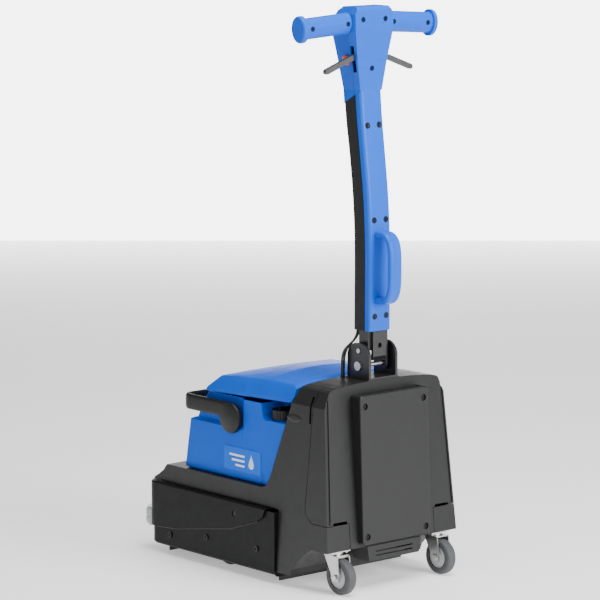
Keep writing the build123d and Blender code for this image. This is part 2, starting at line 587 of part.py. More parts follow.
def caster(side, tag):
    """One swivel caster: the fixed plate and race, the pressed fork with its axle, the hub and the tyre."""
    x = side * CASTER_X
    with BuildPart() as plate:
        add(box(x - 25, x + 25, CASTER_Y - 22, CASTER_Y + 22, ARCH_FLOOR_Z - 3, ARCH_FLOOR_Z))
        add(rod_z(x, CASTER_Y, ARCH_FLOOR_Z - 9, ARCH_FLOOR_Z - 3, 19))
        add(rod_z(x, CASTER_Y, ARCH_FLOOR_Z - 10, ARCH_FLOOR_Z, 5 + RUN), mode=Mode.SUBTRACT)
        for dx in (-19, 19):
            for dy in (-16, 16):
                add(rod_z(x + dx, CASTER_Y + dy, ARCH_FLOOR_Z - 6, ARCH_FLOOR_Z - 3, 4))
    save(plate.part, f"caster_plate_{tag}")
    crown = ARCH_FLOOR_Z - 9 - CLEAR
    with BuildPart() as fork:
        add(rod_z(x, CASTER_Y, crown - FORK_T, crown, 18))
        add(box(x - LEG_X - FORK_T, x + LEG_X + FORK_T, CASTER_Y - 12, CASTER_Y + 26, crown - FORK_T, crown))
        leg = [(CASTER_Y - 12, crown), (CASTER_Y + 28, crown), (CASTER_AXLE_Y + 12, WHEEL_D / 2 + 8),
               (CASTER_AXLE_Y + 9, WHEEL_D / 2 - 8), (CASTER_AXLE_Y - 6, WHEEL_D / 2 - 9),
               (CASTER_AXLE_Y - 11, WHEEL_D / 2 + 4)]
        with BuildPart(mode=Mode.PRIVATE) as legs:
            for s in SIDES:
                with BuildSketch(Plane.YZ.offset(x + s * LEG_X if s > 0 else x - LEG_X - FORK_T)):
                    with BuildLine():
                        Polyline(*leg, close=True)
                    make_face()
                    fillet([v for v in vertices() if v.Z < WHEEL_D / 2 + 10], 5)
                extrude(amount=FORK_T)
        add(legs.part)
        add(rod_z(x, CASTER_Y, crown, ARCH_FLOOR_Z, 5))
        add(rod_x(x - LEG_X - FORK_T - 3.5, x + LEG_X + FORK_T + 3.5, CASTER_AXLE_Y, WHEEL_D / 2, AXLE_R))
        for s in SIDES:
            with BuildPart(mode=Mode.PRIVATE) as nut:
                with BuildSketch(Plane.YZ.offset(x + s * (LEG_X + FORK_T) - (0 if s > 0 else 4))):
                    with Locations((CASTER_AXLE_Y, WHEEL_D / 2)):
                        RegularPolygon(7, 6)
                extrude(amount=4)
            add(nut.part)
    save(fork.part, f"caster_fork_{tag}")
    with BuildPart() as hub:
        add(rod_x(x - WHEEL_W / 2 - 1, x + WHEEL_W / 2 + 1, CASTER_AXLE_Y, WHEEL_D / 2, 11))
        add(rod_x(x - WHEEL_W / 2 + 3, x + WHEEL_W / 2 - 3, CASTER_AXLE_Y, WHEEL_D / 2, HUB_R))
        add(rod_x(x - WHEEL_W / 2 - 2, x + WHEEL_W / 2 + 2, CASTER_AXLE_Y, WHEEL_D / 2, AXLE_R + RUN),
            mode=Mode.SUBTRACT)
    save(hub.part, f"caster_hub_{tag}")
    with BuildPart() as tyre:
        with BuildSketch(Plane.XY):
            with BuildLine():
                Polyline((-WHEEL_W / 2, HUB_R), (WHEEL_W / 2, HUB_R), (WHEEL_W / 2, WHEEL_D / 2),
                         (-WHEEL_W / 2, WHEEL_D / 2),
                         close=True)
            make_face()
            fillet([v for v in vertices() if v.Y > HUB_R + 1], 7)
        revolve(axis=Axis.X)
    save(Pos(x, CASTER_AXLE_Y, WHEEL_D / 2) * tyre.part, f"caster_tyre_{tag}")


caster(1, "right")
caster(-1, "left")

# ---------------------------------------------------------------- tank
TANK_SIDE = [
    (TANK_FRONT_Y, TANK_LOW_Z),
    (66, TANK_LOW_Z),
    (83, TANK_LOW_Z + 8),
    (93, TANK_LOW_Z + 25),
    (134, 338),
    (147, 384),
    (-136, 373),
    (-160, 345),
    (-186, 308),
]
TANK_FRONT_VIEW = [(-156, TANK_LOW_Z - 1), (156, TANK_LOW_Z - 1), (TANK_HALF, TANK_LOW_Z + 16),
                   (TANK_HALF - 3, 400),
                   (-TANK_HALF + 3, 400), (-TANK_HALF, TANK_LOW_Z + 16)]
NOTCH = box(98, 200, 56, 128, CAP_LOW_Z - 4, 400)


def tank_block(inset):
    """The tank inside its side outline and its front outline, both pulled in by inset."""
    with BuildPart() as block:
        add(across(TANK_HALF + 20, TANK_SIDE, inset))
        add(along(-260, 200, TANK_FRONT_VIEW, inset), mode=Mode.INTERSECT)
    return block.part


with BuildPart() as tank:
    add(tank_block(0))
    upright = tank.edges().filter_by(
        lambda e: e.length > 60 and abs(abs(e.center().X) - TANK_HALF + 2) < 8 and e.center().Y < -150)
    fillet(upright, 14)
    add(NOTCH, mode=Mode.SUBTRACT)
    with BuildPart(mode=Mode.PRIVATE) as inside:
        add(tank_block(TANK_WALL))
        add(box(98 - TANK_WALL, 200, 56 - TANK_WALL, 128 + TANK_WALL, CAP_LOW_Z - 4 - TANK_WALL, 400),
            mode=Mode.SUBTRACT)
    add(inside.part, mode=Mode.SUBTRACT)
    # opening under the lid
    add(box(-120, 80, -110, 40, 340, 400), mode=Mode.SUBTRACT)
    # filler neck
    add(rod_z(CAP_X, CAP_Y, CAP_LOW_Z - 5, CAP_LOW_Z + 10, CAP_R - 7))
    add(rod_z(CAP_X, CAP_Y, CAP_LOW_Z - 12, CAP_LOW_Z + 11, CAP_R - 10), mode=Mode.SUBTRACT)
    # bail bosses
    for side in SIDES:
        add(rod_x(side * (TANK_HALF - 12), side * (TANK_HALF + 1), BAIL_Y, BAIL_Z, 16))
        add(rod_x(side * (TANK_HALF - 12), side * (TANK_HALF + 1 + BAIL_THICK), BAIL_Y, BAIL_Z, 8))
        # lid hinge ears
        ear = side * LID_EAR_X
        add(box(ear - 6, ear + 6, LID_HINGE_Y - 8, LID_HINGE_Y + 3, 376, LID_HINGE_Z))
        add(rod_x(ear - 6, ear + 6, LID_HINGE_Y, LID_HINGE_Z, 6))
        add(rod_x(ear - 14, ear + 14, LID_HINGE_Y, LID_HINGE_Z, 2.5))
save(tank.part, "tank")

with BuildPart() as fill_cap:
    add(rod_z(CAP_X, CAP_Y, CAP_LOW_Z, CAP_LOW_Z + CAP_TALL, CAP_R))
    fillet(fill_cap.edges().group_by(Axis.Z)[-1], 2)
    add(rod_z(CAP_X, CAP_Y, CAP_LOW_Z - 1, CAP_LOW_Z + 14, CAP_R - 7 + CLEAR), mode=Mode.SUBTRACT)
    for k in range(24):
        a = math.radians(15 * k)
        add(rod_z(CAP_X + CAP_R * math.cos(a), CAP_Y + CAP_R * math.sin(a), CAP_LOW_Z - 1, CAP_LOW_Z + 15,
                  1.4),
            mode=Mode.SUBTRACT)
    add(box(CAP_X - 15, CAP_X + 15, CAP_Y - 3, CAP_Y + 3, CAP_LOW_Z + CAP_TALL - 1, CAP_LOW_Z + CAP_TALL + 4))
save(fill_cap.part, "fill_cap")

with BuildPart() as label_plates:
    for side in SIDES:
        plate = box(side * TANK_HALF - 3, side * TANK_HALF + 3, -66, 55, 212, 264)
        with BuildPart(mode=Mode.PRIVATE) as skin:
            add(along(-66, 55, [(side * (TANK_HALF + 0.8), TANK_LOW_Z + 16),
                                (side * (TANK_HALF - 3 + 0.8), 400),
                                (side * (TANK_HALF - 3), 400), (side * TANK_HALF, TANK_LOW_Z + 16)]))
            add(box(side * 150 - 40, side * 150 + 40, -66, 55, 216, 266), mode=Mode.INTERSECT)
        add(skin.part)
save(label_plates.part, "label_plates")

LID_SIDE = [(-136, 374.2), (147, 385.2), (157, 405), (158, 416), (150, 424), (55, 437), (-60, 424),
            (-90, 412),
            (-132, 380)]
LID_FRONT_VIEW = [(-LID_HALF, 360), (LID_HALF, 360), (LID_HALF, 388), (LID_HALF - 13, 424), (100, 433),
                  (0, 438),
                  (-100, 433), (-LID_HALF + 13, 424), (-LID_HALF, 388)]


def lid_block(inset):
    """The lid inside its side outline and its front outline, both pulled in by inset."""
    with BuildPart() as block:
        add(across(LID_HALF + 20, LID_SIDE, inset))
        add(along(-260, 200, LID_FRONT_VIEW, inset), mode=Mode.INTERSECT)
    return block.part


with BuildPart() as tank_lid:
    add(lid_block(0))
    with BuildPart(mode=Mode.PRIVATE) as inside:
        add(lid_block(TANK_WALL))
        add(box(-LID_HALF + 12, LID_HALF - 12, -118, 126, 340, 392))
    add(inside.part, mode=Mode.SUBTRACT)
    for side in SIDES:
        ear = side * LID_EAR_X
        add(box(ear - 16, ear + 16, LID_HINGE_Y - 14, LID_HINGE_Y + 8, LID_HINGE_Z - 8,
                LID_HINGE_Z + 9) & lid_block(0))
        add(box(ear - 7, ear + 7, LID_HINGE_Y - 16, LID_HINGE_Y + 20, 370, 440), mode=Mode.SUBTRACT)
        add(rod_x(ear - 20, ear + 20, LID_HINGE_Y, LID_HINGE_Z, 2.5 + RUN), mode=Mode.SUBTRACT)
save(tank_lid.part, "tank_lid")

with BuildPart() as bail:
    inner = TANK_HALF + 1 + CLEAR
    for side in SIDES:
        x0, x1 = sorted((side * inner, side * (inner + BAIL_THICK)))
        add(rod_x(x0, x1, BAIL_Y, BAIL_Z, BAIL_R))
        add(box(x0, x1, BAIL_FRONT_Y, BAIL_Y, BAIL_Z - 6, BAIL_Z - 6 + BAIL_ARM))
    add(box(-inner - BAIL_THICK, inner + BAIL_THICK, BAIL_FRONT_Y, BAIL_FRONT_Y + 18, BAIL_Z - 6,
            BAIL_Z - 6 + BAIL_ARM))
    corners = bail.edges().filter_by(Axis.Z).filter_by(lambda e: e.center().Y < BAIL_FRONT_Y + 1)
    fillet(corners, 22)
    for side in SIDES:
        add(rod_x(side * (inner - 2), side * (inner + BAIL_THICK + 2), BAIL_Y, BAIL_Z, 8 + RUN),
            mode=Mode.SUBTRACT)
save(bail.part, "bail")

# ---------------------------------------------------------------- hinge of the handle
with BuildPart() as clevis:
    add(box(-CLEVIS_IN - CLEVIS_T, CLEVIS_IN + CLEVIS_T, PIVOT_Y - 36, PIVOT_Y + 32, PAD_Z, PAD_Z + 3))
    for side in SIDES:
        x0, x1 = sorted((side * CLEVIS_IN, side * (CLEVIS_IN + CLEVIS_T)))
        add(box(x0, x1, PIVOT_Y - 36, PIVOT_Y + 32, PAD_Z, CLEVIS_TOP_Z))
    tops = clevis.edges().filter_by(Axis.X).filter_by(lambda e: e.center().Z > CLEVIS_TOP_Z - 1)
    fillet(tops, 30)
    for side in SIDES:
        add(rod_x(side * (CLEVIS_IN - 1), side * (CLEVIS_IN + CLEVIS_T + 1), PIVOT_Y, PIVOT_Z, PIVOT_R),
            mode=Mode.SUBTRACT)
save(clevis.part, "clevis")

with BuildPart() as pivot_bolt:
    add(rod_x(-CLEVIS_IN - CLEVIS_T, CLEVIS_IN + CLEVIS_T, PIVOT_Y, PIVOT_Z, PIVOT_R))
    for side in SIDES:
        add(rod_x(side * (CLEVIS_IN + CLEVIS_T), side * (CLEVIS_IN + CLEVIS_T + 5), PIVOT_Y, PIVOT_Z, 9.5))
save(pivot_bolt.part, "pivot_bolt")

with BuildPart() as clevis_screws:
    for side in SIDES:
        outer = side * (CLEVIS_IN + CLEVIS_T)
        add(rod_x(outer, outer + side * 2.5, PIVOT_Y, 492, 5))
save(clevis_screws.part, "clevis_screws")

BRACKET_HALF = COLUMN_HALF - COLUMN_SHELL
BRACKET_DEEP = 14.0
with BuildPart() as column_bracket:
    for side in SIDES:
        x0, x1 = sorted((side * BRACKET_HALF, side * (BRACKET_HALF - 4)))
        add(box(x0, x1, PIVOT_Y - BRACKET_DEEP, PIVOT_Y + BRACKET_DEEP, PIVOT_Z, COLUMN_FOOT_Z + 40))
        add(rod_x(x0, x1, PIVOT_Y, PIVOT_Z, BRACKET_DEEP))
        add(rod_x(side * BRACKET_HALF, side * (CLEVIS_IN - CLEAR), PIVOT_Y, PIVOT_Z, 10))
    for y in (PIVOT_Y - BRACKET_DEEP, PIVOT_Y + BRACKET_DEEP - 4):
        add(box(-BRACKET_HALF, BRACKET_HALF, y, y + 4, 492, COLUMN_FOOT_Z + 40))
    add(rod_x(-CLEVIS_IN, CLEVIS_IN, PIVOT_Y, PIVOT_Z, PIVOT_R + RUN), mode=Mode.SUBTRACT)
save(column_bracket.part, "column_bracket")

with BuildPart() as hinge_plate:
    face = PIVOT_Y + BRACKET_DEEP
    plate_side = [(face, COLUMN_FOOT_Z - 1), (face, 482), (face - 3, 475), (face + 1, 471), (face + 6, 479),
                  (face + 6, COLUMN_FOOT_Z - 1)]
    add(across(18.5, plate_side))
    add(rod_y(0, PIVOT_Y + 5, PIVOT_Y + 30, 502, 5.5), mode=Mode.SUBTRACT)
save(hinge_plate.part, "hinge_plate")

# ---------------------------------------------------------------- column
COLUMN_REAR = [(246, 765), (244, 800), (238, 838), (229, 904), (219, 978), (215, 1032)]
COLUMN_STRAIGHT_Z = 765.0
COLUMN_FACE_Y = 246.0


def column_block(inset):
    """The column: straight below, then curving forward, with its upright edges rounded."""
    deep = COLUMN_DEPTH - 2 * inset
    foot, top = COLUMN_FOOT_Z - (20 if inset else 0), COLUMN_REAR[-1][1] + (20 if inset else 0)
    rear = [(y - inset, z) for y, z in COLUMN_REAR[:-1]] + [(COLUMN_REAR[-1][0] - inset, top)]
    with BuildPart() as block:
        with BuildSketch(Plane.YZ.offset(-COLUMN_HALF + inset)):
            with BuildLine():
                Line((COLUMN_FACE_Y - inset, foot), (COLUMN_FACE_Y - inset, COLUMN_STRAIGHT_Z))
                Spline(*rear, tangents=[(0, 1), (-0.06, 1)])
                Line(rear[-1], (rear[-1][0] - deep, top))
                Spline(*[(y - deep, z) for y, z in reversed(rear)], tangents=[(0.06, -1), (0, -1)])
                Line((COLUMN_FACE_Y - inset - deep, COLUMN_STRAIGHT_Z), (COLUMN_FACE_Y - inset - deep, foot))
                Line((COLUMN_FACE_Y - inset - deep, foot), (COLUMN_FACE_Y - inset, foot))
            make_face()
        extrude(amount=2 * (COLUMN_HALF - inset))
        fillet(block.edges().filter_by(lambda e: e.length > 60), 8 - inset)
        if not inset:
            add(across(60, [(100, COLUMN_FOOT_Z - 20), (300, COLUMN_FOOT_Z - 20), (300, 1081.3),
                            (100, 965.3)]),
                mode=Mode.INTERSECT)
    return block.part


def column_part(rear):
    """The front or the rear half shell of the column, split along a line that follows the rear face."""
    shift = COLUMN_REAR_DEPTH + (0.0 if rear else 0.6)
    line = [(COLUMN_FACE_Y - shift, COLUMN_FOOT_Z - 20)] + [(y - shift, z) for y, z in COLUMN_REAR]
    line = line + [(line[-1][0] - 1, 1080)]
    side = 320 if rear else 100
    with BuildPart() as half:
        add(column_block(0))
        add(column_block(COLUMN_SHELL), mode=Mode.SUBTRACT)
        add(across(70, line + [(side, 1080), (side, COLUMN_FOOT_Z - 20)]), mode=Mode.INTERSECT)
    return half.part


save(column_part(False), "column_front")

COLUMN_SCREWS = [(x, z) for x in (-16, 16) for z in (564, 765, 960)]


def column_y(z):
    """The column's rear face at a height."""
    if z <= COLUMN_STRAIGHT_Z:
        return COLUMN_FACE_Y
    for (y0, z0), (y1, z1) in zip(COLUMN_REAR, COLUMN_REAR[1:]):
        if z <= z1:
            return y0 + (y1 - y0) * (z - z0) / (z1 - z0)
    return COLUMN_REAR[-1][0]


with BuildPart() as column_rear:
    add(column_part(True))
    for x, z in COLUMN_SCREWS:
        add(rod_y(x, column_y(z) - 8, column_y(z) - 0.5, z, 7.5))
        add(rod_y(x, column_y(z) - 4, column_y(z) + 4, z, 6.0), mode=Mode.SUBTRACT)
    bracket_room = (-BRACKET_HALF, BRACKET_HALF, PIVOT_Y - BRACKET_DEEP, PIVOT_Y + BRACKET_DEEP)
    add(box(*bracket_room, COLUMN_FOOT_Z - 5, COLUMN_FOOT_Z + 40), mode=Mode.SUBTRACT)
save(column_rear.part, "column_rear")

# carry handle: a flattened D on the column's rear
D_PATH = [(242, 745), (272, 743), (290, 734), (297, 716), (297, 612), (290, 596), (272, 589), (242, 587)]
with BuildPart() as carry_handle:
    with BuildSketch(Plane.YZ.offset(-17)):
        with BuildLine():
            FilletPolyline(*D_PATH, radius=10, close=True)
        make_face()
        with BuildLine():
            FilletPolyline((230, 730), (270, 728), (281, 716), (281, 614), (270, 604), (230, 602), radius=7,
                           close=True)
        make_face(mode=Mode.SUBTRACT)
    extrude(amount=34)
    with BuildPart(mode=Mode.PRIVATE) as clear_of_column:
        add(across(40, [(column_y(600), 560), (column_y(600), 790), (200, 790), (200, 560)]))
    add(clear_of_column.part, mode=Mode.SUBTRACT)
save(carry_handle.part, "carry_handle")

# ---------------------------------------------------------------- head, grips and levers
HEAD_SIDE = [(215, 1032), (218, 1090), (225, 1157), (224, 1198), (218, HEAD_TOP_Z), (178, HEAD_TOP_Z),
             (166, 1196),
             (149, 1157), (156, 1100), (165, 1003)]
HEAD_VIEW = [(-30, 1000), (30, 1000), (30, 1032), (42, 1101), (HEAD_HALF, 1157), (HEAD_HALF, 1190),
             (44, HEAD_TOP_Z + 1),
             (-44, HEAD_TOP_Z + 1), (-HEAD_HALF, 1190), (-HEAD_HALF, 1157), (-42, 1101), (-30, 1032)]


def head_block(inset):
    """The head inside its side outline and its rear outline, both pulled in by inset."""
    with BuildPart() as block:
        add(across(80, HEAD_SIDE, inset))
        add(along(100, 300, HEAD_VIEW, inset), mode=Mode.INTERSECT)
    return block.part


def grip_axis(side, x):
    """Height of the grip's axis at a distance from the middle."""
    return GRIP_Z - (abs(x) - GRIP_MID_X) * math.tan(math.radians(GRIP_DROOP))


def core_bar(side, radius):
    """The round bar inside one grip."""
    x0, x1 = 30.0, GRIP_END_X - 14
    middle = (x0 + x1) / 2
    return Pos(side * middle, GRIP_Y, grip_axis(side, middle)) * Rot(0, side * (90 + GRIP_DROOP),
                                                                     0) * Cylinder(
        radius, (x1 - x0) / math.cos(math.radians(GRIP_DROOP)), mode=Mode.PRIVATE)


HEAD_SCREWS = [(-30.6, 1178.5), (30.6, 1178.5), (0, 1077)]


def head_y(z):
    """The head's rear face at a height."""
    for (y0, z0), (y1, z1) in zip(HEAD_SIDE, HEAD_SIDE[1:4]):
        if z <= z1:
            return y0 + (y1 - y0) * (z - z0) / (z1 - z0)
    return HEAD_SIDE[3][0]


def head_part(rear):
    """The front or the rear shell of the head."""
    with BuildPart() as half:
        add(head_block(0))
        add(head_block(COLUMN_SHELL), mode=Mode.SUBTRACT)
        if rear:
            add(box(-80, 80, HEAD_SPLIT_Y, 260, 1000, 1220), mode=Mode.INTERSECT)
        else:
            add(box(-80, 80, 120, HEAD_SPLIT_Y - 0.5, 1000, 1220), mode=Mode.INTERSECT)
        for side in SIDES:
            add(core_bar(side, CORE_R + 0.0), mode=Mode.SUBTRACT)
            # lever slot in the side
            add(box(side * 45 - 16, side * 45 + 16, LEVER_Y - LEVER_THICK / 2 - 1,
                    LEVER_Y + LEVER_THICK / 2 + 1,
                    1070, 1124), mode=Mode.SUBTRACT)
        add(box(36, 60, BUTTON_Y - 6 - CLEAR, BUTTON_Y + 6 + CLEAR, BUTTON_Z - 9 - CLEAR,
                BUTTON_Z + 9 + CLEAR),
            mode=Mode.SUBTRACT)
    return half.part


with BuildPart() as head_front:
    add(head_part(False))
save(head_front.part, "head_front")

with BuildPart() as head_rear:
    add(head_part(True))
    for x, z in HEAD_SCREWS:
        add(rod_y(x, head_y(z) - 9, head_y(z) - 0.5, z, 7.5))
        add(rod_y(x, head_y(z) - 4, head_y(z) + 6, z, 6.0), mode=Mode.SUBTRACT)
    for side in SIDES:  # lever pivots
        add(rod_y(side * LEVER_X, LEVER_Y - 8, head_y(LEVER_Z) - 1, LEVER_Z, 3.0))
save(head_rear.part, "head_rear")

with BuildPart() as handlebar_cores:
    for side in SIDES:
        add(core_bar(side, CORE_R))
save(handlebar_cores.part, "handlebar_cores")


def grip(side, name):
    """One moulded grip: an upright oval section with a collar at the outer end, bored for its bar."""
    start, finish = HEAD_HALF + 0.5, GRIP_END_X
    tilt = side * (90 + GRIP_DROOP)
    long = (finish - start) / math.cos(math.radians(GRIP_DROOP))
    middle = (start + finish) / 2
    with BuildPart() as body:
        with BuildSketch(Plane.XY.offset(-long / 2)):
            Ellipse(GRIP_TALL, GRIP_DEEP)
        extrude(amount=long)
        with BuildSketch(Plane.XY.offset(long / 2 - 12)):
            Ellipse(GRIP_TALL + 6, GRIP_DEEP + 5)
        extrude(amount=12)
        ends = body.edges().group_by(Axis.Z)[-1]
        fillet(ends, 5)
    with BuildPart() as whole:
        add(Pos(side * middle, GRIP_Y, grip_axis(side, middle)) * Rot(0, tilt, 0) * body.part)
        add(core_bar(side, CORE_R), mode=Mode.SUBTRACT)
        add(box(-HEAD_HALF - 0.4, HEAD_HALF + 0.4, 100, 300, 1000, 1300), mode=Mode.SUBTRACT)
        for x in (63.5, 159.5):
            z = grip_axis(side, x)
            add(rod_y(side * x, GRIP_Y + GRIP_DEEP - 3, GRIP_Y + GRIP_DEEP + 5, z, 5.5), mode=Mode.SUBTRACT)
    save(whole.part, name)


grip(1, "grip_right")
grip(-1, "grip_left")

with BuildPart() as handle_screws:
    for x, z in COLUMN_SCREWS:
        add(rod_y(x, column_y(z) - 4, column_y(z) - 1.8, z, SCREW_R))
        add(rod_y(x, column_y(z) - 2.8, column_y(z) - 1, z, 1.8), mode=Mode.SUBTRACT)
    for x, z in HEAD_SCREWS:
        add(rod_y(x, head_y(z) - 4, head_y(z) - 1.8, z, SCREW_R))
        add(rod_y(x, head_y(z) - 2.8, head_y(z) - 1, z, 1.8), mode=Mode.SUBTRACT)
    for side in SIDES:
        for x in (63.5, 159.5):
            z = grip_axis(side, x)
            add(rod_y(side * x, GRIP_Y + GRIP_DEEP - 3, GRIP_Y + GRIP_DEEP - 1, z, SCREW_R))
            add(rod_y(side * x, GRIP_Y + GRIP_DEEP - 2, GRIP_Y + GRIP_DEEP, z, 1.8), mode=Mode.SUBTRACT)
save(handle_screws.part, "handle_screws")


def lever(side, name):
    """One operating lever: a flat bar with a round tip, drooping outwards from its pivot in the head."""
    with BuildPart() as bar:
        with BuildSketch(Plane.XZ.offset(-(LEVER_Y + LEVER_THICK / 2))):
            with Locations((side * LEVER_REACH / 2, 0)):
                SlotOverall(LEVER_REACH + LEVER_TALL, LEVER_TALL)
            Circle(3.0 + RUN, mode=Mode.SUBTRACT)
        extrude(amount=LEVER_THICK)
    placed = Pos(side * LEVER_X, 0, LEVER_Z) * Rot(0, side * LEVER_DROOP, 0) * bar.part
    save(placed, name)


lever(1, "lever_right")
lever(-1, "lever_left")

with BuildPart() as safety_button:
    add(box(38, 51, BUTTON_Y - 6, BUTTON_Y + 6, BUTTON_Z - 9, BUTTON_Z + 9))
    fillet(safety_button.edges().group_by(Axis.X)[-1], 2)
save(safety_button.part, "safety_button")

# ---------------------------------------------------------------- cable across the handle's hinge
with BuildPart() as handle_cable:
    for dx in (-2.9, 2.9):
        low, high = CABLE_X + dx, 20 - dx
        with BuildLine(mode=Mode.PRIVATE) as path:
            FilletPolyline((low, CABLE_Y, ARCH_Z - 26), (low, CABLE_Y, 496), (high, CABLE_Y + 19, 523),
                           (high, CABLE_Y + 19, 560), radius=18)
        with BuildSketch(Plane(origin=(low, CABLE_Y, ARCH_Z - 26), z_dir=(0, 0, 1))):
            Circle(2.4)
        sweep(path=path.line)
save(handle_cable.part, "handle_cable")
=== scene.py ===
# %% [markdown]
# # A walk-behind micro scrubber
# A small battery floor scrubber: a black moulded body on two swivel casters and a cylindrical brush, a
# blue lift-off tank with a carrying bail, and a tall folding handle. The solids come from the CAD frame,
# in metres, with +Z up and the operator behind, at +Y. This scene adds finishes, softer mouldings, a
# floor, light and a camera.

# %% Load the frame
import json
import math

import bpy
import numpy as np
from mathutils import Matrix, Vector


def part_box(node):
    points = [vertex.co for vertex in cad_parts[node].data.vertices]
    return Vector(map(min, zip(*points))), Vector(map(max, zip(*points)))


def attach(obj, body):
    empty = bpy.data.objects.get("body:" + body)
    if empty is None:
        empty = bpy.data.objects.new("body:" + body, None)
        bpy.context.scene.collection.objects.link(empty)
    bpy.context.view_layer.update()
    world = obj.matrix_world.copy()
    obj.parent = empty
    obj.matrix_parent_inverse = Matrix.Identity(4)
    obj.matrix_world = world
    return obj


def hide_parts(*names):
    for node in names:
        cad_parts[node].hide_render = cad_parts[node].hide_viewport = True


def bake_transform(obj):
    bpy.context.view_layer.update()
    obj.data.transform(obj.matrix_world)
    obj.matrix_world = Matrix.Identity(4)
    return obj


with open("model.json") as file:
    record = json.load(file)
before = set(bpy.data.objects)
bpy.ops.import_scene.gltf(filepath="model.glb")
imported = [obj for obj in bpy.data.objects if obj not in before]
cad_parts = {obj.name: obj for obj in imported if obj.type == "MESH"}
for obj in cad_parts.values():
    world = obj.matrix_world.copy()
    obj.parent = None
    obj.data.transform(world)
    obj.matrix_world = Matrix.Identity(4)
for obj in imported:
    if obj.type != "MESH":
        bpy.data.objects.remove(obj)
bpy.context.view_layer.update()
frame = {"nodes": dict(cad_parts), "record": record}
nodes = frame["nodes"]

# %% [markdown]
# ## Finishes
# Moulded plastic is never one flat colour. The tool that makes it is etched, so the surface has a fine
# grain, the gloss wanders a little over a hand's width, and handling leaves faint marks. One helper
# builds that recipe from noise in object coordinates, so the grain stays with the piece when it moves.

# %% A helper for moulded and plated finishes
def finish(name, color, rough, grain=900.0, relief=0.12, mottling=0.06, metallic=0.0, coat=0.0, scuff=0.0,
           mirror=0.5):
    """One material, from three noises in object coordinates. A slow one scales the colour between
    1 - mottling and 1 + mottling. A finer one moves the roughness from rough - 0.04 to rough + 0.06 + scuff.
    One of scale grain drives the bump, whose strength is relief. Mirror is the specular level, and 0.5 is
    plain plastic."""
    mat = bpy.data.materials.new(name)
    mat.use_nodes = True
    tree = mat.node_tree
    tree.nodes.clear()
    add, link = tree.nodes.new, tree.links.new
    out, shader = add("ShaderNodeOutputMaterial"), add("ShaderNodeBsdfPrincipled")
    place = add("ShaderNodeTexCoord")
    link(shader.outputs["BSDF"], out.inputs["Surface"])
    slow, fine, marks = add("ShaderNodeTexNoise"), add("ShaderNodeTexNoise"), add("ShaderNodeTexNoise")
    for node, scale, detail in ((slow, 14.0, 4.0), (fine, grain, 3.0), (marks, 60.0, 8.0)):
        node.inputs["Scale"].default_value = scale
        node.inputs["Detail"].default_value = detail
        link(place.outputs["Object"], node.inputs["Vector"])
    tint = add("ShaderNodeMapRange")
    tint.inputs["To Min"].default_value = 1.0 - mottling
    tint.inputs["To Max"].default_value = 1.0 + mottling
    link(slow.outputs["Fac"], tint.inputs["Value"])
    shade = add("ShaderNodeVectorMath")
    shade.operation = "SCALE"
    shade.inputs[0].default_value = color[:3]
    link(tint.outputs["Result"], shade.inputs["Scale"])
    link(shade.outputs["Vector"], shader.inputs["Base Color"])
    gloss = add("ShaderNodeMapRange")
    gloss.inputs["From Min"].default_value = 0.3
    gloss.inputs["From Max"].default_value = 0.7
    gloss.inputs["To Min"].default_value = rough - 0.04
    gloss.inputs["To Max"].default_value = rough + 0.06 + scuff
    link(marks.outputs["Fac"], gloss.inputs["Value"])
    link(gloss.outputs["Result"], shader.inputs["Roughness"])
    bump = add("ShaderNodeBump")
    bump.inputs["Strength"].default_value = relief
    bump.inputs["Distance"].default_value = 0.0004
    link(fine.outputs["Fac"], bump.inputs["Height"])
    link(bump.outputs["Normal"], shader.inputs["Normal"])
    shader.inputs["Metallic"].default_value = metallic
    shader.inputs["Specular IOR Level"].default_value = mirror
    shader.inputs["Coat Weight"].default_value = coat
    shader.inputs["Coat Roughness"].default_value = 0.15
    mat.diffuse_color = (*color[:3], 1.0)
    return mat

# %% [markdown]
# ## Which finish goes where
# The body is charcoal plastic with a fine grain. The tank and the handle are the same blue, a smoother
# plastic with a soft sheen. The caster forks are zinc plated, and so are the bolt and the screws of the
# handle's hinge. The bracket that they hold is black, the tyres are grey rubber and the other screws are
# black.

